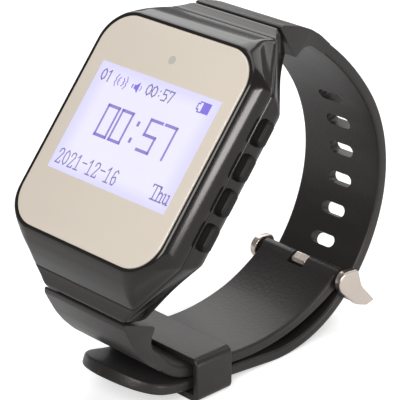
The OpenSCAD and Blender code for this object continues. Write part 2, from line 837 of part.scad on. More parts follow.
// Tongue: an eye round the pin and a blade out through the slot to the crossbar
module buckle_tongue() {
    eye_r = roll_r - 0.1;
    color(metal) at_pin() difference() {
        union() {
            across(notch_w - 0.4) circle(r = eye_r);
            across(tongue_w) hull() {
                circle(d = tongue_t);
                translate([0, -buckle_reach + 1.6]) circle(d = tongue_t);
            }
        }
        rotate([0, 90, 0]) cylinder(d = pin_d + 2 * skin, h = 60, center = true);
    }
}

// Placing the watch on the floor, in the middle of its own length: it is tipped back
// until the keeper's face and the strap behind it both touch
keeper_low = -strap_t / 2 - stack_step - keeper_touch - keeper_wall;
keeper_edges = [for (e = [-1, 1])
    place(keeper_point) + turned([e * (keeper_l / 2 - 0.4), keeper_low], keeper_angle)];
strap_skin = [for (p = long_rings) place(p) - inward(p) * strap_t / 2];
stand_tilt = -max([
    for (k = keeper_edges) min([for (p = strap_skin) atan2(p.y - k.y, p.x - k.x)])
]);
floor_level = min([for (p = [each keeper_edges, each strap_skin]) turned(p, stand_tilt).y]);
front_level = turned([-lip_hl - 0.05, lip_z - 0.25], stand_tilt).x;
rear_level = max([for (p = strap_skin) turned(p, stand_tilt).x]);
module stand() {
    translate([-button_proud / 2, -(front_level + rear_level) / 2, -floor_level])
        rotate([stand_tilt, 0, 0]) children();
}

stand() front_housing();
stand() rear_cover();
stand() housing_gasket();
stand() lens();
stand() lens_adhesive();
stand() display_panel();
stand() backlight();
stand() display_frame();
stand() display_flex();
stand() status_light();
stand() main_board();
stand() radio_shield();
stand() antenna_coil();
stand() charging_socket();
stand() battery();
stand() battery_pad();
stand() vibration_motor();
stand() buzzer();
stand() side_switches();
stand() switch_stem(1);  // switch_stem_1
stand() switch_stem(2);  // switch_stem_2
stand() switch_stem(3);  // switch_stem_3
stand() switch_stem(4);  // switch_stem_4
stand() button(1);  // button_1
stand() button(2);  // button_2
stand() button(3);  // button_3
stand() button(4);  // button_4
stand() case_screws();
stand() spring_bar();  // spring_bar_top
stand() mirror([0, 1, 0]) spring_bar();  // spring_bar_bottom
stand() long_strap();
stand() short_strap();
stand() strap_keeper();
stand() buckle_frame();
stand() buckle_pin();
stand() buckle_tongue();
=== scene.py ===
import math

import bmesh
import bpy
import numpy as np
from mathutils import Matrix, Vector


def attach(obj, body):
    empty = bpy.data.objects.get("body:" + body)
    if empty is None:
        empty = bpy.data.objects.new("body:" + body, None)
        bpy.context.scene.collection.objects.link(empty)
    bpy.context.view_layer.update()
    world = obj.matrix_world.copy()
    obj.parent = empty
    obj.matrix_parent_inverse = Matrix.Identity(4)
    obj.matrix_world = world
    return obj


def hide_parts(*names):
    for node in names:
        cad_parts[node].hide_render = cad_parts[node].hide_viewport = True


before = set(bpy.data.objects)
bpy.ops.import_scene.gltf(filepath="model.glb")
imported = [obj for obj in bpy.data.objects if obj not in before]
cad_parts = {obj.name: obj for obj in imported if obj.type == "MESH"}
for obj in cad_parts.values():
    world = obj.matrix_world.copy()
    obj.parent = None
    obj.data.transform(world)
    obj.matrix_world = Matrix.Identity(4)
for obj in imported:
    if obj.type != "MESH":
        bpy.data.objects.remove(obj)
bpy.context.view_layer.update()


# The photograph's viewpoint. The watch leans back on its buckled strap; its pieces are
# worked out in millimetres with the lens facing +Z, 12 o'clock at +Y and the buttons at
# +X, and on_stand() then tips them onto the floor in metres.
LEAN = math.radians(50.0099)
LEAN_SHIFT = (-0.75, -21.3748, 49.795)


def on_stand(x, y, z):
    back, up = math.cos(LEAN), math.sin(LEAN)
    return Vector((
        (x + LEAN_SHIFT[0]) / 1000,
        (y * back - z * up + LEAN_SHIFT[1]) / 1000,
        (y * up + z * back + LEAN_SHIFT[2]) / 1000,
    ))


def turned_with_stand(x, y, z):
    return (on_stand(x, y, z) - on_stand(0, 0, 0)).normalized()


def in_scene(name, data):
    made = bpy.data.objects.new(name, data)
    bpy.context.scene.collection.objects.link(made)
    return made


camera_data = bpy.data.cameras.new("photo_camera")
camera_data.sensor_width = 36
camera_data.lens = 180.32
camera_data.clip_start = 0.01
camera = in_scene("photo_camera", camera_data)
# What is right, up and towards the camera in the picture, along the watch's own axes
view_axes = [
    turned_with_stand(0.687, 0.4606, -0.562),
    turned_with_stand(-0.2823, 0.8819, 0.3776),
    turned_with_stand(0.6695, -0.1007, 0.7359),
]
camera.matrix_world = Matrix.Translation(on_stand(244.4, -39.0, 245.1)) @ Matrix(
    view_axes
).transposed().to_4x4()
bpy.context.scene.camera = camera


# Lens: one flat pane of hard-coated acrylic with a mirror tint on its back, glued into
# the lip of the front housing. Its edge is ground round, so it catches a fine light line.
LENS_W, LENS_L, LENS_R, LENS_T = 37.0, 42.2, 6.4, 1.2
EDGE_ROUND = 0.22


def outline(corners, steps):
    """Closed outline through [x, y, radius] corners, with steps + 1 points on each."""
    points = []
    count = len(corners)
    for i, (x, y, radius) in enumerate(corners):
        here = np.array([x, y], float)
        before = np.array(corners[i - 1][:2], float) - here
        after = np.array(corners[(i + 1) % count][:2], float) - here
        before /= np.linalg.norm(before)
        after /= np.linalg.norm(after)
        half = math.acos(max(-1, min(1, float(before @ after)))) / 2
        middle = before + after
        centre = here + middle / np.linalg.norm(middle) * radius / math.sin(half)
        start = here + before * radius / math.tan(half) - centre
        end = here + after * radius / math.tan(half) - centre
        side = start[0] * end[1] - start[1] * end[0]
        sweep = math.copysign(math.pi - 2 * half, side)
        for k in range(steps + 1):
            a = sweep * k / steps
            points.append([
                centre[0] + start[0] * math.cos(a) - start[1] * math.sin(a),
                centre[1] + start[0] * math.sin(a) + start[1] * math.cos(a),
            ])
    return np.array(points)


def pane_outline(half_w, half_l, radius, steps=14):
    return outline([
        [half_w, -half_l, radius], [half_w, half_l, radius],
        [-half_w, half_l, radius], [-half_w, -half_l, radius],
    ], steps)


def at_height(points, z):
    return np.column_stack([points, np.full(len(points), z)])


def quarter_turn(steps):
    """Angles from 0 to a right angle, for an edge rounded in that many steps."""
    return [math.pi / 2 * step / steps for step in range(steps + 1)]


def skinned(rings, joined=False):
    """Points and faces of a skin over rings with as many points each.

    The first and last ring are closed, or joined to each other as in a loop."""
    count = len(rings[0])
    faces = []
    for j in range(len(rings) if joined else len(rings) - 1):
        low, high = j * count, (j + 1) % len(rings) * count
        for i in range(count):
            k = (i + 1) % count
            faces.append((low + i, low + k, high + k, high + i))
    if not joined:
        faces.append(tuple(reversed(range(count))))
        faces.append(tuple(range((len(rings) - 1) * count, len(rings) * count)))
    return np.vstack(rings), faces


def piece(name, points, faces, crease=35):
    """A named mesh, stood on the floor, with its faces turned outward.

    Edges that turn by more than crease degrees stay sharp."""
    mesh = bpy.data.meshes.new(name)
    mesh.from_pydata([on_stand(*p) for p in points], [], faces)
    shaped = bmesh.new()
    shaped.from_mesh(mesh)
    bmesh.ops.recalc_face_normals(shaped, faces=shaped.faces)
    shaped.to_mesh(mesh)
    shaped.free()
    soften(mesh, crease)
    return in_scene(name, mesh)


def soften(mesh, crease):
    mesh.shade_smooth()
    mesh.set_sharp_from_angle(angle=math.radians(crease))


def finish_with(made, material):
    made.data.materials.clear()
    made.data.materials.append(material)


def new_material(name):
    made = bpy.data.materials.new(name)
    made.use_nodes = True
    return made, made.node_tree, made.node_tree.nodes["Principled BSDF"]


def node(tree, kind, inputs=None, **settings):
    """A shader node whose inputs are given as values or as other nodes' sockets."""
    made = tree.nodes.new(kind)
    for key, value in settings.items():
        setattr(made, key, value)
    feed(tree, made, inputs or {})
    return made


def feed(tree, made, inputs):
    """Sets a node's inputs to values, or links other nodes' sockets to them."""
    for key, value in inputs.items():
        if isinstance(value, bpy.types.NodeSocket):
            tree.links.new(value, made.inputs[key])
        else:
            made.inputs[key].default_value = value


def maths(tree, operation, *values, kind="ShaderNodeMath", **settings):
    """The result of one operation on values or other nodes' sockets."""
    return node(tree, kind, dict(enumerate(values)), operation=operation, **settings).outputs[0]


def new_group(name, inputs, outputs):
    """A shader node group with float inputs {name: default} and named outputs."""
    tree = bpy.data.node_groups.new(name, "ShaderNodeTree")
    for key, value in inputs.items():
        made = tree.interface.new_socket(key, in_out="INPUT", socket_type="NodeSocketFloat")
        made.default_value = value
    for key in outputs:
        tree.interface.new_socket(key, in_out="OUTPUT", socket_type="NodeSocketFloat")
    return tree, tree.nodes.new("NodeGroupInput").outputs, tree.nodes.new("NodeGroupOutput")


def placed(tree, group, inputs=None):
    """A group used in a material, with its own values."""
    made = tree.nodes.new("ShaderNodeGroup")
    made.node_tree = group
    feed(tree, made, inputs or {})
    return made.outputs


# Slow drift: the faint clouding of a wiped surface, from 0 to 1 over a few millimetres.
slow_drift, given, result = new_group("slow_drift", {"Scale": 60.0, "Contrast": 1.0}, ["Drift"])
place = node(slow_drift, "ShaderNodeTexCoord").outputs["Object"]
cloud = node(slow_drift, "ShaderNodeTexNoise", {
    "Vector": place, "Scale": given["Scale"], "Detail": 3.0, "Roughness": 0.55,
})
centred = maths(slow_drift, "SUBTRACT", cloud.outputs["Fac"], 0.5)
spread = maths(slow_drift, "MULTIPLY", centred, given["Contrast"])
shifted = maths(slow_drift, "ADD", spread, 0.5, use_clamp=True)
feed(slow_drift, result, {"Drift": shifted})


def between(tree, fac, low, high):
    """A value or colour that runs from low to high as fac goes from 0 to 1.

    Either colour may be another node's socket."""
    if isinstance(high, (int, float)):
        made = node(tree, "ShaderNodeMapRange", {"Value": fac, "To Min": low, "To Max": high})
        return made.outputs["Result"]
    low, high = [(*end, 1) if isinstance(end, tuple) else end for end in (low, high)]
    made = node(tree, "ShaderNodeMix", {"Factor": fac, 6: low, 7: high}, data_type="RGBA")
    return made.outputs[2]


lens_rings = [at_height(pane_outline(LENS_W / 2, LENS_L / 2, LENS_R), -LENS_T)]
for bend in quarter_turn(4):
    pulled = EDGE_ROUND * (1 - math.cos(bend))
    lens_rings.append(at_height(
        pane_outline(LENS_W / 2 - pulled, LENS_L / 2 - pulled, LENS_R - pulled),
        -EDGE_ROUND + EDGE_ROUND * math.sin(bend),
    ))
lens_pane = piece("lens_pane", *skinned(lens_rings), crease=50)
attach(lens_pane, "watch")
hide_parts("lens")

lens_look, tree, surface = new_material("mirror_tinted_acrylic")
drift = placed(tree, slow_drift, {"Scale": 28.0, "Contrast": 1.4})["Drift"]
feed(tree, surface, {
    "Base Color": between(tree, drift, (0.690, 0.612, 0.520), (0.730, 0.655, 0.563)),
    "Roughness": between(tree, drift, 0.10, 0.16),
    "Coat Weight": 1.0, "Coat Roughness": 0.02,
})
finish_with(lens_pane, lens_look)


# Display: the lit liquid crystal glass under the lens, which shows through the mirror
# tint as a pale lavender window, bluer at its border where the light guide's edge glows.
WINDOW = (-15.0, -10.15, 15.65, 11.4)
WINDOW_R = 0.25
WINDOW_LIFT = 0.006


def flat_shape(name, parts, z):
    """Flat closed outlines lying on the lens, each a list of x, y points."""
    points, faces = [], []
    for part in parts:
        faces.append(tuple(range(len(points), len(points) + len(part))))
        points += [(x, y, z) for x, y in part]
    mesh = bpy.data.meshes.new(name)
    mesh.from_pydata([on_stand(*p) for p in points], [], faces)
    return in_scene(name, mesh)


left, low, right, high = WINDOW
window_middle = ((left + right) / 2, (low + high) / 2)
window_edge = pane_outline((right - left) / 2, (high - low) / 2, WINDOW_R, 4)
lit_display = flat_shape("lit_display", [window_edge + np.array(window_middle)], WINDOW_LIFT)
window_uv = lit_display.data.uv_layers.new(name="window")
for loop in lit_display.data.loops:
    at = window_edge[loop.vertex_index]
    window_uv.data[loop.index].uv = (at[0] / (right - left) + 0.5, at[1] / (high - low) + 0.5)
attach(lit_display, "watch")

display_look, tree, surface = new_material("lit_liquid_crystal")
window_place = node(tree, "ShaderNodeUVMap", uv_map="window").outputs["UV"]
from_middle = maths(tree, "SUBTRACT", window_place, (0.5, 0.5, 0), kind="ShaderNodeVectorMath")
reach = maths(tree, "ABSOLUTE", from_middle, kind="ShaderNodeVectorMath")
sides = node(tree, "ShaderNodeSeparateXYZ", {0: reach})
outermost = maths(tree, "MAXIMUM", sides.outputs[0], sides.outputs[1])
glow = node(tree, "ShaderNodeMapRange", {
    "Value": outermost, "From Min": 0.36, "From Max": 0.5,
}, interpolation_type="SMOOTHSTEP")
drift = placed(tree, slow_drift, {"Scale": 45.0, "Contrast": 1.2})["Drift"]
pale = between(tree, drift, (0.53, 0.515, 0.64), (0.56, 0.545, 0.67))
feed(tree, surface, {
    "Base Color": between(tree, drift, (0.33, 0.32, 0.35), (0.36, 0.35, 0.38)),
    "Emission Color": between(tree, glow.outputs[0], pale, (0.42, 0.41, 0.70)),
    "Emission Strength": 1.0,
    "Roughness": 0.15, "Coat Weight": 0.6, "Coat Roughness": 0.02,
})
finish_with(lit_display, display_look)


# Status light: the polished tip of the small light pipe that ends under the lens above
# the display. Unlit, it shows as a round spot, greyer than the tint round it.
LIGHT_SPOT, LIGHT_R = (0.35, 15.45), 0.82

light_tip = pane_outline(LIGHT_R, LIGHT_R, LIGHT_R - 0.001, 8) + np.array(LIGHT_SPOT)
light_window = flat_shape("light_window", [light_tip], WINDOW_LIFT)
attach(light_window, "watch")
light_look, tree, surface = new_material("light_pipe_tip")
drift = placed(tree, slow_drift, {"Scale": 400.0, "Contrast": 1.4})["Drift"]
feed(tree, surface, {
    "Base Color": between(tree, drift, (0.49, 0.47, 0.42), (0.53, 0.51, 0.46)),
    "Roughness": 0.2, "Coat Weight": 0.8, "Coat Roughness": 0.02,
})
finish_with(light_window, light_look)


# Digits and signs: dark segments etched into the liquid crystal glass. The large digits
# are plain straight bars, and the small ones follow a narrow pixel type with slab feet.
PRINT_LIFT = 0.012
LEVEL_BAR, UPRIGHT_BAR, COLON_DOT = 0.58, 0.46, 0.62


def stroke(points, width):
    """Flat bars of one width along a line, squared at the ends."""
    bars = []
    for (x0, y0), (x1, y1) in zip(points, points[1:]):
        length = math.hypot(x1 - x0, y1 - y0)
        ux, uy = (x1 - x0) / length * width / 2, (y1 - y0) / length * width / 2
        bars.append([
            (x0 - ux + uy, y0 - uy - ux), (x1 + ux + uy, y1 + uy - ux),
            (x1 + ux - uy, y1 + uy + ux), (x0 - ux - uy, y0 - uy + ux),
        ])
    return bars


# Each sign's lines in a box one unit wide and high
SIGNS = {
    "0": [[(0.5, 0), (0.12, 0.2), (0.02, 0.5), (0.12, 0.8), (0.5, 1), (0.88, 0.8), (0.98, 0.5),
           (0.88, 0.2), (0.5, 0)]],
    "1": [[(0.1, 0.8), (0.5, 1), (0.5, 0)], [(0.05, 0), (0.95, 0)]],
    "I": [[(0.15, 0.85), (0.5, 1), (0.5, 0)]],
    "2": [[(0.05, 0.72), (0.15, 0.93), (0.5, 1), (0.85, 0.93), (0.92, 0.72), (0.05, 0), (0.95, 0),
           (0.95, 0.14)]],
    "5": [[(0.9, 1), (0.1, 1), (0.1, 0.55), (0.7, 0.6), (0.95, 0.3), (0.75, 0.02), (0.05, 0)]],
    "6": [[(0.9, 0.85), (0.6, 1), (0.2, 0.85), (0.05, 0.4), (0.25, 0.02), (0.7, 0), (0.95, 0.28),
           (0.7, 0.55), (0.1, 0.45)]],
    "7": [[(0.05, 0.85), (0.05, 1), (0.95, 1), (0.45, 0)]],
    "-": [[(0.05, 0.62), (0.95, 0.62)]],
    ":": [[(0.5, 0.26), (0.5, 0.3)], [(0.5, 0.7), (0.5, 0.74)]],
    "T": [[(0.02, 0.85), (0.02, 1), (0.98, 1), (0.98, 0.85)], [(0.5, 1), (0.5, 0)],
          [(0.25, 0), (0.75, 0)]],
    "h": [[(0.0, 1), (0.2, 1), (0.2, 0)], [(0.0, 0), (0.4, 0)],
          [(0.2, 0.5), (0.5, 0.68), (0.8, 0.55), (0.8, 0)], [(0.6, 0), (1.0, 0)]],
    "u": [[(0.0, 0.66), (0.2, 0.66), (0.2, 0.12), (0.45, 0), (0.8, 0.15)],
          [(0.6, 0.66), (0.8, 0.66), (0.8, 0), (1.0, 0)]],
}


def row_of_signs(text, x, y, sign_w, sign_h, pitch, width):
    """Signs of one size side by side, from their lower left corner on."""
    bars = []
    for i, sign in enumerate(text):
        for line in SIGNS[sign]:
            bars += stroke([(x + i * pitch + a * sign_w, y + b * sign_h) for a, b in line], width)
    return bars


def digit_bars(points):
    """A large digit's bars along a line, the level ones wider than the upright ones."""
    bars = []
    for start, end in zip(points, points[1:]):
        bars += stroke([start, end], LEVEL_BAR if start[1] == end[1] else UPRIGHT_BAR)
    return bars


def large_bars():
    """Two noughts, a colon, a five and a seven."""
    bars = []
    top, foot = 4.1, -1.65
    for x0, x1 in ((-8.25, -5.45), (-4.5, -1.8)):
        for bar in (
            [(x0, top), (x1, top)], [(x0, foot), (x1, foot)],
            [(x0, top), (x0, foot)], [(x1, top), (x1, foot)],
        ):
            bars += digit_bars(bar)
    for y0, y1 in ((2.95, 2.6), (-0.25, -0.6)):
        bars += stroke([(0.35, y0), (0.35, y1)], COLON_DOT)
    bars += digit_bars([
        (5.55, 4.3), (2.75, 4.3), (2.75, 1.4), (5.55, 1.4), (5.55, -1.5), (2.75, -1.5),
    ])
    bars += digit_bars([(6.45, 4.35), (9.2, 4.35), (9.2, -1.6)])
    return bars


def status_signs():
    """Ringing brackets, loudspeaker and battery along the top of the display."""
    shapes = []
    x, y = -8.4, 8.75
    for side in (-1, 1):
        for near, tall in ((0.75, 0.75), (1.45, 1.15)):
            shapes += stroke([
                (x + side * (near - 0.35), y + tall), (x + side * near, y + tall * 0.35),
                (x + side * (near - 0.2), y), (x + side * near, y - tall * 0.35),
                (x + side * (near - 0.35), y - tall),
            ], 0.2)
    shapes.append([(-5.5, 8.35), (-5.2, 8.35), (-5.2, 9.15), (-5.5, 9.15)])
    shapes.append([
        (-4.9, 8.35), (-4.5, 8.35), (-3.75, 7.7), (-3.75, 9.85), (-4.5, 9.15), (-4.9, 9.15),
    ])
    shapes += stroke([(-3.3, 9.2), (-3.15, 8.8), (-3.3, 8.35)], 0.16)
    shapes.append([(12.0, 8.35), (13.9, 8.35), (13.9, 10.4), (12.0, 10.4)])
    shapes += stroke([(12.0, 10.3), (11.3, 10.3), (11.3, 9.9), (10.9, 9.9), (10.9, 8.85),
                      (11.3, 8.85), (11.3, 8.4), (12.0, 8.4)], 0.24)
    return shapes


large_print = large_bars()
small_print = (
    row_of_signs("0I", -13.65, 7.95, 1.1, 2.1, 1.45, 0.28)
    + row_of_signs("00:57", -1.8, 8.1, 1.15, 2.05, 1.37, 0.26)
    + row_of_signs("2021-12-16", -13.85, -8.9, 1.15, 2.75, 1.62, 0.24)
    + row_of_signs("T", 10.5, -8.5, 1.9, 2.6, 1, 0.26)
    + row_of_signs("hu", 12.2, -8.5, 1.45, 2.5, 1.55, 0.26)
)
for name, shapes, dark, lit in (
    ("large_digits", large_print, (0.20, 0.155, 0.45), (0.24, 0.19, 0.50)),
    ("small_signs", small_print, (0.155, 0.13, 0.34), (0.20, 0.17, 0.40)),
    ("status_signs", status_signs(), (0.15, 0.11, 0.50), (0.19, 0.145, 0.57)),
):
    signs = flat_shape(name, shapes, PRINT_LIFT)
    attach(signs, "watch")
    look, tree, surface = new_material(name + "_crystal")
    drift = placed(tree, slow_drift, {"Scale": 300.0, "Contrast": 1.6})["Drift"]
    ink = between(tree, drift, dark, lit)
    feed(tree, surface, {
        "Base Color": ink, "Emission Color": ink, "Emission Strength": 0.45,
        "Roughness": 0.15, "Coat Weight": 1.0, "Coat Roughness": 0.02,
    })
    finish_with(signs, look)


# Front housing and rear cover: two shells of polished black ABS that meet along a fine
# seam, which drops at both ends. The shell swells below a thin lip and slopes out to
# the straps, and the rear cover has the button slots and the seats for the straps.
SIDE_HW, END_HW, END_Y, END_TOP_Z, END_SLOPE = 20.6, 10.9, 29.1, -9.4, math.radians(22)
SEAM_GAP, SEAM_SOFT, SEAM_SIDE_Z, SEAM_END_Z = 0.12, 0.12, -4.3, -7.0
SEAM_DROP_FROM, SEAM_DROP_TO = 13.0, END_Y - 3
LENS_GAP, LIP_SOFT, LIP_RISE, LIP_Z = 0.12, 0.06, 0.03, -0.15
LEDGE_Z, LEDGE_T, WALL_T = -1.4, 1.0, 1.5
REAR_FLOOR_Z, REAR_FLOOR_SHARE, BACK_SOFT = -12.4, 0.72, 0.5


def end_at(z):
    """Where the sloping end face of the case lies at a height."""
    return END_Y - (END_TOP_Z - z) * math.tan(END_SLOPE)


# Height, half width, half length, half width of the end, shoulder, corner radius
CASE_LEVELS = np.array([
    (-14.2, 14.6, 26.7, 9.7, 11.5, 2.5), (-13.6, 15.6, end_at(-13.6), 10.5, 12.0, 2.5),
    (-12.0, 17.7, end_at(-12), 10.9, 13.2, 2.5), (-9.9, 19.85, end_at(-9.9), 10.9, 14.3, 1.8),
    (-9.0, 20.4, 28.95, 11.0, 14.7, 1.6), (-8.2, 20.56, 27.95, 12.0, 15.2, 1.8),
    (-7.0, 20.56, 26.55, 13.5, 15.9, 1.8), (-4.5, 20.45, 25.15, 13.4, 16.9, 1.9),
    (-2.6, 20.25, 23.9, 14.3, 17.5, 4.0), (-1.5, 19.92, 23.0, 14.85, 17.75, 5.5),
    (-0.8, 19.64, 22.4, 15.05, 17.85, 6.2), (-0.35, 19.40, 21.98, 15.15, 17.85, 6.45),
    (-0.12, 19.12, 21.7, 15.1, 17.75, 6.5),
])


def eased(levels, at):
    """A row of levels at a fractional place, through a smooth curve."""
    i = min(int(at), len(levels) - 2)
    t = at - i
    a, b = levels[i], levels[i + 1]
    into = (b - levels[max(i - 1, 0)]) / 2
    out = (levels[min(i + 2, len(levels) - 1)] - a) / 2
    return ((2 * t**3 - 3 * t**2 + 1) * a + (t**3 - 2 * t**2 + t) * into
            + (-2 * t**3 + 3 * t**2) * b + (t**3 - t**2) * out)


def case_outline(z, half_w, half_l, end_hw, shoulder, radius):
    """The eight-sided outline of the case at one level."""
    points = outline([
        [half_w, -shoulder, radius], [half_w, shoulder, radius],
        [end_hw, half_l, radius], [-end_hw, half_l, radius],
        [-half_w, shoulder, radius], [-half_w, -shoulder, radius],
        [-end_hw, -half_l, radius], [end_hw, -half_l, radius],
    ], 9)
    return at_height(points, z)


def seam_height(y):
    """The seam runs level along the sides and drops towards both ends."""
    along = np.clip((abs(y) - SEAM_DROP_FROM) / (SEAM_DROP_TO - SEAM_DROP_FROM), 0, 1)
    return SEAM_SIDE_Z + (SEAM_END_Z - SEAM_SIDE_Z) * along


PER_LEVEL = 4
fine_levels = [
    eased(CASE_LEVELS, i / PER_LEVEL) for i in range((len(CASE_LEVELS) - 1) * PER_LEVEL + 1)
]
case_rings = np.array([case_outline(*row) for row in fine_levels])


def column_at(column, at):
    """A point at a fractional place up a column of the case."""
    i = min(int(at), len(column) - 2)
    return column[i] + (column[i + 1] - column[i]) * (at - i)


def seam_place(column):
    """Where along a column of the case the seam crosses it."""
    gap = column[:, 2] - seam_height(column[:, 1])
    i = int(np.argmax(gap > 0)) - 1
    return i + gap[i] / (gap[i] - gap[i + 1])


seam_at = np.array([seam_place(case_rings[:, c]) for c in range(case_rings.shape[1])])


def case_band(start, end, rows):
    """Rings from start to end, given as places along each column."""
    rings = []
    for r in range(rows + 1):
        ring = [
            column_at(case_rings[:, c], start[c] + (end[c] - start[c]) * r / rows)
            for c in range(case_rings.shape[1])
        ]
        rings.append(np.array(ring))
    return rings


def drawn_in(ring, by, dz=0.0):
    """A ring moved towards the case's middle and up or down."""
    moved = ring.copy()
    flat = moved[:, :2]
    moved[:, :2] = flat * (1 - by / np.linalg.norm(flat, axis=1, keepdims=True))
    moved[:, 2] += dz
    return moved


top_place = np.full(len(seam_at), len(case_rings) - 1.0)
front_rings = case_band(seam_at, top_place, rows=26)
front_rings[0] = drawn_in(front_rings[0], SEAM_SOFT, SEAM_GAP / 2)
lens_seat = pane_outline(LENS_W / 2 + LENS_GAP, LENS_L / 2 + LENS_GAP, 6.5, 19)
ledge = pane_outline(16.9, 19.2, 4.6, 19)


def matched(ring, to):
    """A ring resampled so that its points lie on the same bearings as another's."""
    bearing = np.arctan2(ring[:, 1], ring[:, 0])
    order = np.argsort(bearing)
    sizes = np.linalg.norm(ring[:, :2], axis=1)[order]
    wanted = np.arctan2(to[:, 1], to[:, 0])
    found = np.interp(wanted, bearing[order], sizes, period=2 * math.pi)
    return np.column_stack([found * np.cos(wanted), found * np.sin(wanted),
                            np.full(len(to), ring[0, 2])])


lip_top = drawn_in(front_rings[-1], LIP_SOFT, LIP_RISE)
lip_inner = matched(at_height(lens_seat, LIP_Z), lip_top)
seat_foot = matched(at_height(lens_seat, LEDGE_Z), lip_top)
ledge_top = matched(at_height(ledge, LEDGE_Z), lip_top)
ledge_foot = ledge_top - np.array([0, 0, LEDGE_T])
wall_foot = drawn_in(front_rings[0], WALL_T)
front_shell = piece("front_shell", *skinned(
    front_rings + [lip_top, lip_inner, seat_foot, ledge_top, ledge_foot, wall_foot], joined=True,
), crease=40)

rear_rings = case_band(np.zeros(len(seam_at)), seam_at, rows=40)
rear_rings[-1] = drawn_in(rear_rings[-1], SEAM_SOFT, -SEAM_GAP / 2)
rear_rings.insert(0, drawn_in(rear_rings[0], BACK_SOFT))
rear_inner = drawn_in(rear_rings[-1], WALL_T)
rear_floor = at_height(rear_inner[:, :2] * REAR_FLOOR_SHARE, REAR_FLOOR_Z)
rear_shell = piece("rear_shell", *skinned(rear_rings + [rear_inner, rear_floor]), crease=40)


def cutter(points, faces):
    return piece("cutter", points, faces)


def box_points(corner, opposite):
    """A box between two opposite corners."""
    (x0, y0, z0), (x1, y1, z1) = np.minimum(corner, opposite), np.maximum(corner, opposite)
    points = [(x, y, z) for x in (x0, x1) for y in (y0, y1) for z in (z0, z1)]
    faces = [(0, 1, 3, 2), (4, 6, 7, 5), (0, 4, 5, 1), (2, 3, 7, 6), (0, 2, 6, 4), (1, 5, 7, 3)]
    return points, faces


def at_x(points_yz, x):
    return np.column_stack([np.full(len(points_yz), x), points_yz])


def bar_along_x(points_yz, x0, x1):
    """A prism along X over a closed outline in y and z."""
    return skinned([at_x(points_yz, x0), at_x(points_yz, x1)])


def disc(centre, radius, steps=40):
    angles = np.linspace(0, 2 * math.pi, steps, endpoint=False)
    return np.column_stack([
        centre[0] + radius * np.cos(angles), centre[1] + radius * np.sin(angles),
    ])


def apply_modifiers(made):
    bpy.context.view_layer.update()
    shaped = bpy.data.meshes.new_from_object(
        made.evaluated_get(bpy.context.evaluated_depsgraph_get())
    )
    made.modifiers.clear()
    made.data = shaped


def carved(made, cutters, how="DIFFERENCE"):
    """Cuts the cutters out of a piece, or joins them to it, one after another."""
    for cut in cutters:
        change = made.modifiers.new("carve", "BOOLEAN")
        change.operation = how
        change.solver = "EXACT"
        change.object = cut
        apply_modifiers(made)
        bpy.data.objects.remove(cut)
    shaped = bmesh.new()
    shaped.from_mesh(made.data)
    bmesh.ops.remove_doubles(shaped, verts=shaped.verts, dist=2e-6)
    bmesh.ops.dissolve_degenerate(shaped, edges=shaped.edges, dist=1e-6)
    shaped.to_mesh(made.data)
    shaped.free()
    soften(made.data, 40)


BUTTON_L, BUTTON_W, BUTTON_Z, BUTTON_PITCH = 5.0, 2.2, -6.75, 6.7
BUTTON_YS = [(1.5 - i) * BUTTON_PITCH for i in range(4)]
BUTTON_GAP = 0.1
SCREW_SPOTS = [(x, y) for x in (-10.4, 10.4) for y in (-18.4, 18.4)]
SCREW_HEAD_R, SCREW_HEAD_Z = 1.55, -12.9
BAR_Y, BAR_Z, LUG_R, LUG_W, LUG_GAP = 26.1, -12.0, 1.9, 15.6, 0.15
# The slots, openings and seats are cut from inside the wall to well beyond the case
seat_hw, seat_r, beyond_end = LUG_W / 2 + LUG_GAP, LUG_R + LUG_GAP, 33
button_slot = pane_outline(BUTTON_L / 2 + BUTTON_GAP, BUTTON_W / 2 + BUTTON_GAP, 1.1, 6)
rear_cuts = [bar_along_x(button_slot + [y, BUTTON_Z], 16.5, 24) for y in BUTTON_YS]
charging_opening = box_points((-22, -3.9, -8.15), (-15, 3.9, -5.45))
rear_cuts.append(charging_opening)
for spot in SCREW_SPOTS:
    rear_cuts.append(skinned([
        at_height(disc(spot, SCREW_HEAD_R), z) for z in (-15.5, SCREW_HEAD_Z)
    ]))
for end in (-1, 1):
    rear_cuts += [
        bar_along_x(disc((end * BAR_Y, BAR_Z), seat_r), -seat_hw, seat_hw),
        box_points((-seat_hw, end * (BAR_Y - seat_r), -19),
                   (seat_hw, end * beyond_end, BAR_Z + 0.001)),
        box_points((-seat_hw, end * BAR_Y, -13), (seat_hw, end * beyond_end, BAR_Z + seat_r)),
    ]
carved(rear_shell, [cutter(*shape) for shape in rear_cuts])

# Fine grain: the tiny pits and flow marks of a moulded surface, as a height.
fine_grain, given, result = new_group("fine_grain", {"Scale": 2500.0, "Flow": 0.3}, ["Height"])
place = node(fine_grain, "ShaderNodeTexCoord").outputs["Object"]
pits = node(fine_grain, "ShaderNodeTexVoronoi", {"Vector": place, "Scale": given["Scale"]})
flow = node(fine_grain, "ShaderNodeTexNoise", {
    "Vector": place, "Scale": given["Scale"], "Detail": 4.0, "Roughness": 0.6,
})
mixed = node(fine_grain, "ShaderNodeMix", {
    "Factor": given["Flow"], 2: pits.outputs["Distance"], 3: flow.outputs["Fac"],
}, data_type="FLOAT")
feed(fine_grain, result, {"Height": mixed.outputs[0]})

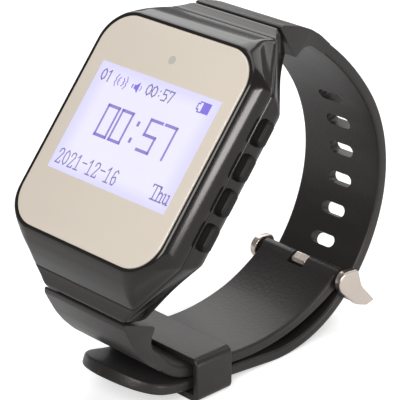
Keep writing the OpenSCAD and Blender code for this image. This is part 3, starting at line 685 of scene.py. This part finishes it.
# Rubbed edges: lighter where hands and cloth have rubbed the corners of a shape.
rubbed_edges, given, result = new_group("rubbed_edges", {"Amount": 1.0, "Scale": 250.0}, ["Mask"])
place = node(rubbed_edges, "ShaderNodeTexCoord").outputs["Object"]
corner = node(rubbed_edges, "ShaderNodeNewGeometry").outputs["Pointiness"]
sharp = node(rubbed_edges, "ShaderNodeMapRange", {
    "Value": corner, "From Min": 0.52, "From Max": 0.60,
})
broken = node(rubbed_edges, "ShaderNodeTexNoise", {
    "Vector": place, "Scale": given["Scale"], "Detail": 3.0,
})
patchy = maths(rubbed_edges, "MULTIPLY", sharp.outputs[0], broken.outputs["Fac"])
scaled = maths(rubbed_edges, "MULTIPLY", patchy, given["Amount"], use_clamp=True)
feed(rubbed_edges, result, {"Mask": scaled})


def bumped(tree, height, strength, distance):
    return node(tree, "ShaderNodeBump", {
        "Height": height, "Strength": strength, "Distance": distance,
    }).outputs["Normal"]


def drifting_look(name, drift, colours, roughness, worn=None, grain=None, bump=None, finish=None):
    """A material whose colour and roughness drift between two values each.

    worn is the amount and colour of its rubbed edges, grain the scale and flow of its
    surface, bump that grain's strength and depth, and finish its other sockets."""
    look, tree, surface = new_material(name)
    cloud = placed(tree, slow_drift, drift)["Drift"]
    colour = between(tree, cloud, *colours)
    if worn:
        amount, bare = worn
        colour = between(
            tree, placed(tree, rubbed_edges, {"Amount": amount})["Mask"], colour, bare,
        )
    feed(tree, surface, {"Base Color": colour, "Roughness": between(tree, cloud, *roughness)})
    if grain:
        height = placed(tree, fine_grain, grain)["Height"]
        feed(tree, surface, {"Normal": bumped(tree, height, *bump)})
    feed(tree, surface, finish or {})
    return look


shell_look = drifting_look(
    "polished_black_abs", {"Scale": 40.0, "Contrast": 1.6},
    ((0.0075, 0.0065, 0.006), (0.0105, 0.0092, 0.0086)), (0.14, 0.19),
    worn=(0.5, (0.03, 0.028, 0.027)), grain={"Scale": 900.0, "Flow": 0.9}, bump=(0.025, 0.00002),
    finish={"Specular Tint": (1.0, 0.95, 0.93, 1), "Specular IOR Level": 0.42},
)
for shell, housing in ((front_shell, "front_housing"), (rear_shell, "rear_cover")):
    finish_with(shell, shell_look)
    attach(shell, "watch")
    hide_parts(housing)


# Seals: a soft black rubber cord in the seam's channel, a die-cut frame of black
# adhesive film under the lens, and a foam pad under the cell.
seal_look = drifting_look(
    "soft_black_seal", {"Scale": 90.0},
    ((0.018, 0.018, 0.018), (0.035, 0.035, 0.036)), (0.6, 0.8),
    grain={"Scale": 1800.0, "Flow": 0.5}, bump=(0.3, 0.0001),
)
for name in ("housing_gasket", "lens_adhesive", "battery_pad"):
    finish_with(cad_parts[name], seal_look)


# Display stack: liquid crystal glass on a white light guide, clipped in a white moulded
# tray, with an amber printed cable to the board and a small light pipe above it.
glass_look = drifting_look(
    "liquid_crystal_glass", {"Scale": 120.0},
    ((0.62, 0.60, 0.75), (0.70, 0.68, 0.82)), (0.05, 0.12), finish={"Coat Weight": 0.6},
)
guide_look = drifting_look(
    "white_moulded_guide", {"Scale": 150.0},
    ((0.78, 0.78, 0.80), (0.86, 0.86, 0.88)), (0.35, 0.5),
    grain={"Scale": 1500.0}, bump=(0.15, 0.00005),
)
film_look, tree, surface = new_material("amber_printed_film")
tracks = node(tree, "ShaderNodeTexWave", {
    "Vector": node(tree, "ShaderNodeTexCoord").outputs["Object"], "Scale": 380.0,
}, bands_direction="X")
feed(tree, surface, {
    "Base Color": between(tree, tracks.outputs["Fac"], (0.42, 0.20, 0.035), (0.62, 0.33, 0.08)),
    "Roughness": 0.35,
})
for name, look in (
    ("display_panel", glass_look), ("backlight", guide_look), ("display_frame", guide_look),
    ("status_light", guide_look), ("display_flex", film_look),
):
    finish_with(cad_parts[name], look)


# Main board: green glass-fibre laminate with copper tracks under the solder mask. The
# shield can, the charging socket and the switches are soldered to its underside.
board_look, tree, surface = new_material("green_solder_mask")
place = node(tree, "ShaderNodeTexCoord").outputs["Object"]
copper = node(tree, "ShaderNodeTexBrick", {
    "Vector": place, "Scale": 260.0, "Mortar Size": 0.06, "Color1": (0.02, 0.16, 0.07, 1),
    "Color2": (0.025, 0.20, 0.09, 1), "Mortar": (0.05, 0.32, 0.16, 1),
})
grain = placed(tree, fine_grain, {"Scale": 1400.0})["Height"]
feed(tree, surface, {
    "Base Color": copper.outputs["Color"], "Roughness": 0.35,
    "Normal": bumped(tree, grain, 0.2, 0.00005),
})
tin_look = drifting_look(
    "tinned_sheet", {"Scale": 200.0, "Contrast": 1.5},
    ((0.52, 0.51, 0.49), (0.68, 0.67, 0.65)), (0.28, 0.45), finish={"Metallic": 1.0},
)
nylon_look = drifting_look(
    "black_moulded_nylon", {"Scale": 160.0},
    ((0.015, 0.015, 0.016), (0.03, 0.03, 0.031)), (0.45, 0.6),
    grain={"Scale": 1600.0}, bump=(0.25, 0.00006),
)
ivory_look = drifting_look(
    "ivory_acetal", {"Scale": 220.0}, ((0.66, 0.60, 0.44), (0.74, 0.69, 0.54)), (0.35, 0.45),
)
for name, look in (
    ("main_board", board_look), ("radio_shield", tin_look), ("charging_socket", tin_look),
    ("side_switches", tin_look), ("buzzer", nylon_look),
):
    finish_with(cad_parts[name], look)
for i in range(1, 5):
    finish_with(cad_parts[f"switch_stem_{i}"], ivory_look)


# Receiving coil, cell and vibration motor: enamelled copper wire wound round along X,
# a flat cell in a silver foil pouch on its pad, and a sealed coin motor in a steel can.
wire_look = drifting_look(
    "enamelled_copper", {"Scale": 500.0, "Contrast": 1.5},
    ((0.48, 0.17, 0.05), (0.66, 0.28, 0.10)), (0.2, 0.32),
    finish={"Metallic": 1.0, "Coat Weight": 0.7},
)
pouch_look = drifting_look(
    "silver_foil_pouch", {"Scale": 80.0}, ((0.50, 0.51, 0.53), (0.62, 0.63, 0.65)), (0.3, 0.45),
    grain={"Scale": 180.0, "Flow": 1.0}, bump=(0.25, 0.0003), finish={"Metallic": 1.0},
)
steel_look, tree, surface = new_material("turned_steel")
place = node(tree, "ShaderNodeTexCoord").outputs["Object"]
turning = node(tree, "ShaderNodeTexNoise", {"Vector": place, "Scale": 1200.0, "Detail": 2.0})
feed(tree, surface, {
    "Base Color": between(tree, turning.outputs["Fac"], (0.42, 0.42, 0.43), (0.56, 0.56, 0.57)),
    "Metallic": 1.0, "Roughness": between(tree, turning.outputs["Fac"], 0.22, 0.38),
})
for name, look in (
    ("antenna_coil", wire_look), ("battery", pouch_look), ("vibration_motor", steel_look),
    ("case_screws", steel_look), ("spring_bar_top", steel_look),
    ("spring_bar_bottom", steel_look),
):
    finish_with(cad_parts[name], look)


# Side buttons: four oblong caps of black rubber over hard cores. Each has a crowned
# face with soft edges, and travels in its own slot of the rear cover.
CAP_ROOT_X, CAP_FACE_X, CAP_EDGE, CAP_CROWN, CAP_FLAT_IN = 18.2, SIDE_HW + 1.5, 0.42, 0.5, 0.75


def button_rings(y):
    """Rings of a cap from its root in the case out to its crowned face."""
    wall_end = CAP_FACE_X - CAP_CROWN
    steps = [(CAP_ROOT_X, 0.0), (wall_end, 0.0)]
    for bend in quarter_turn(6)[1:]:
        steps.append((wall_end + CAP_EDGE * math.sin(bend), CAP_EDGE * (1 - math.cos(bend))))
    steps.append((CAP_FACE_X, CAP_FLAT_IN))
    rings = []
    for x, shrink in steps:
        half_l, half_w = BUTTON_L / 2 - shrink, BUTTON_W / 2 - shrink
        rings.append(at_x(pane_outline(half_l, half_w, half_w * 0.98, 10) + [y, BUTTON_Z], x))
    return rings


button_look = drifting_look(
    "black_button_rubber", {"Scale": 200.0, "Contrast": 1.3},
    ((0.0035, 0.003, 0.003), (0.006, 0.0055, 0.0055)), (0.34, 0.46),
    worn=(0.8, (0.035, 0.033, 0.032)), grain={"Scale": 1900.0, "Flow": 0.4}, bump=(0.15, 0.00006),
    finish={"Specular Tint": (1.0, 0.95, 0.93, 1), "Specular IOR Level": 0.25},
)
for i, y in enumerate(BUTTON_YS, start=1):
    cap = piece(f"button_cap_{i}", *skinned(button_rings(y)), crease=60)
    finish_with(cap, button_look)
    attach(cap, f"button_{i}_body")
    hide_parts(f"button_{i}")


# Long strap: one moulding of black silicone rubber with ten slots and a round tail. Its
# thick end covers the 12 o'clock end of the case and turns on the spring bar.
STRAP_W, STRAP_T, STRAP_EDGE, STRAP_STEP = 20.0, 2.2, 0.6, 0.8
STRAP_START = (END_Y + 1.7, END_TOP_Z - 5.0)
STRAP_HEADING = -76.3
# Arcs of a length and a turn in degrees; the fifth, straight, lies in the keeper
LONG_BENDS = [(26.4, -29.4), (24.7, -49.5), (18.6, -32.5), (21.3, -47.9), (21.2, 0), (13.3, -25)]
SLOT_L, SLOT_W, SLOT_PITCH, USED_SLOT, USED_S = 6.0, 2.4, 6.4, 7, 67.6
SLOT_CUT, TAIL_ROUND = 3.3, 8.0
BLOCK_GAP, BLOCK_DEEP, BLOCK_SOFT, BLOCK_HW, BLOCK_ENDS_AT, LINK_L = 0.2, 7.3, 0.35, 12, 10, 4


def strap_run(start, heading, bends):
    """Stations y, z, heading, length along a line of arcs."""
    y, z, s = start[0], start[1], 0.0
    line = [(y, z, heading, s)]
    for length, turn in bends:
        count = max(1, round(length / STRAP_STEP))
        for _ in range(count):
            middle = math.radians(heading + turn / count / 2)
            y += length / count * math.cos(middle)
            z += length / count * math.sin(middle)
            heading += turn / count
            s += length / count
            line.append((y, z, heading, s))
    return np.array(line)


def station(line, s):
    return np.array([np.interp(s, line[:, 3], line[:, k]) for k in range(4)])


def heading_along(heading):
    return np.array([math.cos(math.radians(heading)), math.sin(math.radians(heading))])


def inward(heading):
    return np.array([math.sin(math.radians(heading)), -math.cos(math.radians(heading))])


def laid(section, at, way):
    """A section whose x runs across the watch and whose other axis is laid along way."""
    return np.column_stack([section[:, 0], at + section[:, 1:] * way])


def strap_band(line, half_width, swell=lambda s: 0.0):
    """Sections all along a strap, thicker by swell(s) on the side away from inward()."""
    rings = []
    for y, z, heading, s in line:
        half_w = half_width(s)
        section = pane_outline(half_w, STRAP_T / 2, min(STRAP_EDGE, half_w * 0.95), 5)
        section[:, 1] -= np.where(section[:, 1] < 0, swell(s), 0.0)
        rings.append(laid(section, (y, z), inward(heading)))
    return rings


long_line = strap_run(STRAP_START, STRAP_HEADING, LONG_BENDS)
long_length = long_line[-1, 3]


def long_half_width(s):
    """The band's half width, which falls away along the round tail."""
    past = max(0.0, s - long_length + TAIL_ROUND) / TAIL_ROUND
    return STRAP_W / 2 * math.sqrt(max(0.004, 1 - past * past))


body_line = long_line[long_line[:, 3] < long_length - TAIL_ROUND - 0.3]
tail_line = np.array([
    station(long_line, long_length - TAIL_ROUND * (1 - math.sin(bend)))
    for bend in quarter_turn(16)
])
long_band = piece("long_band", *skinned(
    strap_band(np.vstack([body_line, tail_line]), long_half_width),
))


def end_block(end):
    """The strap's thick end, at the 12 o'clock end (1) or the 6 o'clock end (-1)."""
    face = np.array([-math.sin(END_SLOPE), -math.cos(END_SLOPE)])
    top = np.array([END_Y + BLOCK_GAP, END_TOP_Z])
    low = top + face * BLOCK_DEEP
    near = np.array(STRAP_START) - inward(STRAP_HEADING) * STRAP_T / 2
    far = station(long_line, BLOCK_ENDS_AT)
    half_across = inward(far[2])[0] * STRAP_T / 2
    profile = outline([
        [top[0], top[1], 0.3], [top[0] + 0.9, top[1] - 0.7, 1.2],
        [near[0] + 0.35, near[1] - 0.5, 12], [near[0] + 1.1, near[1] - 3.25, 12],
        [near[0] + 1.5, near[1] - 6.25, 12],
        [far[0] - half_across, far[1], 0.1], [far[0] + half_across, far[1], 0.1],
        [low[0] + 3.9, low[1] - 1.8, 3], [low[0] + 0.2, low[1] - 1.0, 0.7],
    ], 8)
    profile[:, 0] *= end
    made = piece("end_block", *bar_along_x(profile, -BLOCK_HW, BLOCK_HW))
    # From wide at the case to the strap's own width, seen along the watch
    plan = np.array([
        (-END_HW, 3), (END_HW, 3), (END_HW, END_TOP_Z - 2.5), (STRAP_W / 2, STRAP_START[1] - 9),
        (STRAP_W / 2, -60), (-STRAP_W / 2, -60), (-STRAP_W / 2, STRAP_START[1] - 9),
        (-END_HW, END_TOP_Z - 2.5),
    ])
    rings = [np.column_stack([plan[:, 0], np.full(len(plan), y), plan[:, 1]]) for y in (-60, 60)]
    carved(made, [cutter(*skinned(rings))], "INTERSECT")
    rounding = made.modifiers.new("round", "BEVEL")
    rounding.width = BLOCK_SOFT / 1000
    rounding.segments = 3
    rounding.limit_method = "ANGLE"
    rounding.angle_limit = math.radians(32)
    apply_modifiers(made)
    lug = piece("lug", *bar_along_x(disc((end * BAR_Y, BAR_Z), LUG_R), -LUG_W / 2, LUG_W / 2))
    link = piece("link", *box_points(
        (-LUG_W / 2, end * BAR_Y, BAR_Z - LUG_R),
        (LUG_W / 2, end * (BAR_Y + LINK_L), BAR_Z + LUG_R),
    ))
    carved(made, [lug, link], "UNION")
    return made


def slot_cutter(s):
    """An oblong bar through the strap at one place along it."""
    at = station(long_line, s)
    shape = pane_outline(SLOT_L / 2, SLOT_W / 2, SLOT_W * 0.49, 8)
    return cutter(*skinned([
        laid(shape, at[:2] + inward(at[2]) * depth, heading_along(at[2]))
        for depth in (-SLOT_CUT, SLOT_CUT)
    ]))


carved(long_band, [end_block(1)], "UNION")
carved(long_band, [slot_cutter(USED_S + (i - USED_SLOT) * SLOT_PITCH) for i in range(1, 11)])
long_band.name = "long_strap_moulding"

strap_look = drifting_look(
    "matte_black_silicone", {"Scale": 30.0, "Contrast": 1.5},
    ((0.011, 0.0095, 0.009), (0.018, 0.0155, 0.0148)), (0.33, 0.43),
    worn=(0.6, (0.04, 0.037, 0.036)), grain={"Scale": 1500.0, "Flow": 0.45}, bump=(0.35, 0.00010),
    finish={"Sheen Weight": 0.03, "Sheen Roughness": 0.5,
            "Specular Tint": (1.0, 0.95, 0.93, 1), "Specular IOR Level": 0.45},
)
finish_with(long_band, strap_look)
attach(long_band, "watch")
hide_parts("long_strap")


# Short strap: the same silicone, from the 6 o'clock end down through the keeper to a
# roll round the buckle pin, which is notched for the tongue.
ROLL_R, ROLL_GAP, STRAP_GAP, PIN_D, PIN_GAP = 1.75, 0.6, 0.4, 1.5, 0.05
SHORT_L_1, SHORT_TURN_1, SHORT_BEND_R, KEEPER_RUN = 10.2, 12.7, 12.0, 10.5
NOTCH_W, NOTCH_GAP, ROLL_RISE = 4.0, 0.8, 13.0
# The pin lies inward of the used slot. The short strap drops until it lies on the long
# one inside the keeper, and its last arc ends at the pin.
used_at = station(long_line, USED_S)
pin_at = used_at[:2] + inward(used_at[2]) * (STRAP_T / 2 + ROLL_GAP + ROLL_R)
tail_at = station(long_line, sum(b[0] for b in LONG_BENDS[:4]) + LONG_BENDS[4][0] / 2)
short_heading = -180 - STRAP_HEADING
short_turn_2 = tail_at[2] + 180 - short_heading - SHORT_TURN_1
short_start = (-STRAP_START[0], STRAP_START[1])
first_bend = (SHORT_L_1, SHORT_TURN_1)
second_bend = (SHORT_BEND_R * math.radians(short_turn_2), short_turn_2)
free_end = strap_run(short_start, short_heading, [first_bend, second_bend])[-1]
tail_side = inward(tail_at[2])
drop = ((free_end[:2] - tail_at[:2]) @ tail_side - (STRAP_T + STRAP_GAP)) / -(
    heading_along(short_heading + SHORT_TURN_1) @ tail_side
)
held_bends = [first_bend, (drop, 0), second_bend, (KEEPER_RUN, 0)]
held_end = strap_run(short_start, short_heading, held_bends)[-1]
to_pin = pin_at - held_end[:2]
last_turn = 2 * (math.degrees(math.atan2(to_pin[1], to_pin[0])) - held_end[2])
half_turn = math.radians(last_turn / 2)
last_l = np.linalg.norm(to_pin) * half_turn / math.sin(half_turn)
short_line = strap_run(short_start, short_heading, held_bends + [(last_l, last_turn)])
short_length = short_line[-1, 3]


def roll_swell(s):
    """The strap's inner face rises gently until it is flush with the roll."""
    near_pin = min(1.0, max(0.0, (s - short_length + ROLL_RISE) / ROLL_RISE))
    return (ROLL_R - STRAP_T / 2) * near_pin**1.3


short_band = piece("short_band", *skinned(
    strap_band(short_line, lambda s: STRAP_W / 2, roll_swell),
))
carved(short_band, [
    end_block(-1), piece("roll", *bar_along_x(disc(pin_at, ROLL_R), -STRAP_W / 2, STRAP_W / 2)),
], "UNION")
carved(short_band, [
    cutter(*bar_along_x(disc(pin_at, ROLL_R + NOTCH_GAP), -NOTCH_W / 2, NOTCH_W / 2)),
    cutter(*bar_along_x(disc(pin_at, PIN_D / 2 + PIN_GAP), -15, 15)),
])
short_band.name = "short_strap_moulding"
finish_with(short_band, strap_look)
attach(short_band, "watch")
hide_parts("short_strap")


# Strap keeper: a loose moulded loop of the same rubber round both straps. Its corners
# are soft, and it leans until its outer face lies flat on the counter.
KEEPER_L, KEEPER_WALL, KEEPER_SLACK, KEEPER_SIDE, KEEPER_LEAN = 8.8, 1.2, 1.0, 0.7, 5.5
KEEPER_EDGE, KEEPER_CORNER, KEEPER_MOUTH, KEEPER_BACK, KEEPER_GAP = 0.35, 0.5, 0.2, 1.4, 0.12
keeper_at = station(short_line, held_end[3] - KEEPER_RUN + KEEPER_L / 2 - KEEPER_BACK)
keeper_touch = KEEPER_GAP + KEEPER_L / 2 * math.sin(math.radians(KEEPER_LEAN))
keeper_low = -STRAP_T / 2 - STRAP_T - STRAP_GAP - keeper_touch
keeper_high = STRAP_T / 2 + KEEPER_SLACK
keeper_mid = (keeper_low + keeper_high) / 2
keeper_w, keeper_h = STRAP_W + 2 * KEEPER_SIDE, keeper_high - keeper_low
keeper_along = heading_along(keeper_at[2] + KEEPER_LEAN)
keeper_up = -inward(keeper_at[2] + KEEPER_LEAN)


def keeper_ring(grow, along):
    """An outline of the loop, grown outward from its inner face."""
    radius = KEEPER_CORNER + grow * 0.85
    section = pane_outline(keeper_w / 2 + grow, keeper_h / 2 + grow, radius, 8)
    return laid(section + [0, keeper_mid], keeper_at[:2] + along * keeper_along, keeper_up)


keeper_rings = [keeper_ring(0, -KEEPER_L / 2 + KEEPER_MOUTH)]
for end in (-1, 1):
    edge_rings = [keeper_ring(
        KEEPER_WALL - KEEPER_EDGE * (1 - math.cos(bend)),
        end * (KEEPER_L / 2 - KEEPER_EDGE * (1 - math.sin(bend))),
    ) for bend in quarter_turn(5)]
    keeper_rings += edge_rings[::end]
keeper_rings.append(keeper_ring(0, KEEPER_L / 2 - KEEPER_MOUTH))
keeper_loop = piece("keeper_loop", *skinned(keeper_rings, joined=True), crease=50)
finish_with(keeper_loop, strap_look)
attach(keeper_loop, "keeper")
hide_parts("strap_keeper")


# Buckle: two fin-shaped side plates joined by a crossbar, cast and satin finished, with
# a pin riveted through both and through the roll of the short strap.
PLATE_X, PLATE_T, PLATE_EDGE, BUCKLE_REACH = STRAP_W / 2 + 0.7, 1.5, 0.3, 10.0
TONGUE_W, TONGUE_T = 2.6, 1.1
BAR_IN = STRAP_T + ROLL_GAP + ROLL_R + 0.55
BAR_FACE = -TONGUE_T / 2 - 0.05
fin = outline([
    [2.9, -0.9, 1.2], [0.6, -4.6, 5], [-0.15, -BUCKLE_REACH, 0.3],
    [-1.9, -BUCKLE_REACH + 1.4, 1.2], [-2.9, -5.8, 1.2], [-2.6, 1.4, 2.3], [0.4, 2.85, 2.1],
], 10)


def rounded_bar(outline_yz, x0, x1, soft):
    """A prism along X whose two end edges are rounded by soft."""
    middle = outline_yz.mean(axis=0)
    away = outline_yz - middle
    sizes = np.linalg.norm(away, axis=1, keepdims=True)
    rings = []
    for x, side in ((x0, 1), (x1, -1)):
        edge_rings = [at_x(
            middle + away * (1 - soft * (1 - math.sin(bend)) / sizes),
            x + side * soft * (1 - math.cos(bend)),
        ) for bend in quarter_turn(4)]
        rings += edge_rings[::side]
    return skinned(rings)


plates = [
    piece("plate", *rounded_bar(fin + pin_at, x, x + PLATE_T, PLATE_EDGE), crease=50)
    for x in (-PLATE_X - PLATE_T, PLATE_X)
]
# Crossbar: the stretch of the fin's outline beyond the strap and left of the tongue
deep = -BUCKLE_REACH + 0.8
crossbar = outline([
    [BAR_FACE, -BAR_IN, 0.25], [-2.75, -BAR_IN, 0.4], [-2.7, -5.9, 1.0],
    [-1.95, deep + 0.9, 0.6], [-1.3, deep, 0.2], [BAR_FACE, deep, 0.2],
], 6)
bar_piece = piece("crossbar", *bar_along_x(crossbar + pin_at, -PLATE_X - 0.4, PLATE_X + 0.4),
                  crease=50)
buckle = plates[0]
carved(buckle, [plates[1], bar_piece], "UNION")
buckle.name = "buckle_casting"

metal_look, tree, surface = new_material("satin_nickel")
drift = placed(tree, slow_drift, {"Scale": 120.0, "Contrast": 1.4})["Drift"]
worn_edge = placed(tree, rubbed_edges, {"Amount": 0.9})["Mask"]
place = node(tree, "ShaderNodeTexCoord").outputs["Object"]
stretched = node(tree, "ShaderNodeMapping", {"Vector": place, "Scale": (30.0, 1.0, 1.0)})
brushing = node(tree, "ShaderNodeTexNoise", {
    "Vector": stretched.outputs[0], "Scale": 400.0, "Detail": 3.0,
})
nickel = between(tree, drift, (0.64, 0.56, 0.50), (0.71, 0.63, 0.565))
feed(tree, surface, {
    "Base Color": between(tree, worn_edge, nickel, (0.82, 0.77, 0.72)), "Metallic": 1.0,
    "Roughness": between(tree, drift, 0.26, 0.36),
    "Normal": bumped(tree, brushing.outputs["Fac"], 0.12, 0.00005),
})
finish_with(buckle, metal_look)
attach(buckle, "buckle")
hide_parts("buckle_frame")


# Buckle pin: a round steel pin with domed ends, riveted in the side plates. It carries
# the tongue and the roll at the end of the short strap.
PIN_DOME = 0.25


def domed_pin(reach, radius):
    dome = [
        (-reach + PIN_DOME * (1 - math.sin(bend)), radius * max(0.05, math.sin(bend)))
        for bend in quarter_turn(6)
    ]
    stations = dome + [(-x, r) for x, r in reversed(dome)]
    return skinned([at_x(disc(pin_at, r, 32), x) for x, r in stations])


rivet_pin = piece("rivet_pin", *domed_pin(PLATE_X + PLATE_T - 0.05, PIN_D / 2), crease=50)
finish_with(rivet_pin, metal_look)
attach(rivet_pin, "watch")
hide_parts("buckle_pin")


# Buckle tongue: stamped steel, rolled into an eye round the pin that is flat on top,
# with a blade that goes through a slot of the long strap and rests on the crossbar.
EYE_R, EYE_HW, EYE_FLAT, EYE_HEADING = ROLL_R - 0.1, NOTCH_W / 2 - 0.2, 1.38, -25
EYE_EDGE, BLADE_EDGE = 0.25, 0.18
flat_along, flat_up = heading_along(EYE_HEADING), -inward(EYE_HEADING)
eye = piece("tongue_eye", *rounded_bar(disc(pin_at, EYE_R), -EYE_HW, EYE_HW, EYE_EDGE), crease=50)
blade_reach = BUCKLE_REACH - 1.6 + TONGUE_T / 2
blade_outline = outline([
    [TONGUE_T / 2, 0.3, 0.1], [TONGUE_T / 2, -blade_reach, 0.5],
    [-TONGUE_T / 2, -blade_reach, 0.5], [-TONGUE_T / 2, 0.3, 0.1],
], 6) + pin_at
blade = piece("blade", *rounded_bar(
    blade_outline, -TONGUE_W / 2, TONGUE_W / 2, BLADE_EDGE,
), crease=50)
carved(eye, [blade], "UNION")
carved(eye, [
    cutter(*bar_along_x(disc(pin_at, PIN_D / 2 + PIN_GAP), -8, 8)),
    cutter(*bar_along_x(np.array([
        pin_at + flat_up * up + flat_along * along
        for up, along in ((EYE_FLAT, -3), (EYE_FLAT, 3), (4, 3), (4, -3))
    ]), -8, 8)),
])
eye.name = "tongue_stamping"
finish_with(eye, metal_look)
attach(eye, "tongue")
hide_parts("buckle_tongue")


# Counter and light: a plain white counter that runs out to the horizon under soft
# studio boxes, with an even white room round it.
FLOOR_REACH = 3.0
counter_mesh = bpy.data.meshes.new("counter")
counter_mesh.from_pydata([
    (x * FLOOR_REACH, y * FLOOR_REACH, 0) for x, y in ((-1, -1), (1, -1), (1, 1), (-1, 1))
], [], [(0, 1, 2, 3)])
counter = in_scene("counter", counter_mesh)
counter_look, tree, surface = new_material("white_counter")
feed(tree, surface, {"Base Color": (0.72, 0.72, 0.72, 1), "Roughness": 0.9,
                     "Emission Color": (1, 1, 1, 1)})
seen = node(tree, "ShaderNodeLightPath")
mirrored = maths(tree, "MULTIPLY", seen.outputs["Is Glossy Ray"], 0.08)
lift = maths(tree, "MULTIPLY_ADD", seen.outputs["Is Camera Ray"], 0.55, mirrored)
feed(tree, surface, {"Emission Strength": lift})
finish_with(counter, counter_look)

room = bpy.data.worlds.new("white_room")
room.use_nodes = True
bpy.context.scene.world = room
background = room.node_tree.nodes["Background"]
feed(room.node_tree, background, {"Color": (1, 1, 1, 1), "Strength": 0.25})


def soft_box(name, direction, distance, width, height, power):
    """A studio box with a white cloth front that shines on the middle of the watch."""
    watch_middle = Vector((0, 0, 0.03))
    aim = Vector(direction).normalized()
    data = bpy.data.lights.new(name, "AREA")
    data.shape = "RECTANGLE"
    data.size = width
    data.size_y = height
    data.energy = power
    lamp = in_scene(name, data)
    lamp.matrix_world = Matrix.Translation(watch_middle + aim * distance) @ (
        aim.to_track_quat("Z", "Y").to_matrix().to_4x4()
    )


soft_box("overhead_box", (0.0, 0.25, 1.0), 0.9, 0.7, 0.7, 3.2)
soft_box("back_left_box", (-0.62, 0.55, 0.56), 0.9, 0.6, 0.6, 2.2)
soft_box("back_right_box", (0.10, 0.86, 0.50), 0.9, 0.5, 0.5, 1.2)
soft_box("front_box", (0.50, -0.66, 0.56), 0.9, 0.5, 0.5, 5.6)
soft_box("side_strip", (0.965, 0.259, 0.052), 1.2, 0.45, 0.17, 3.8)

bpy.context.scene.view_settings.view_transform = "Standard"
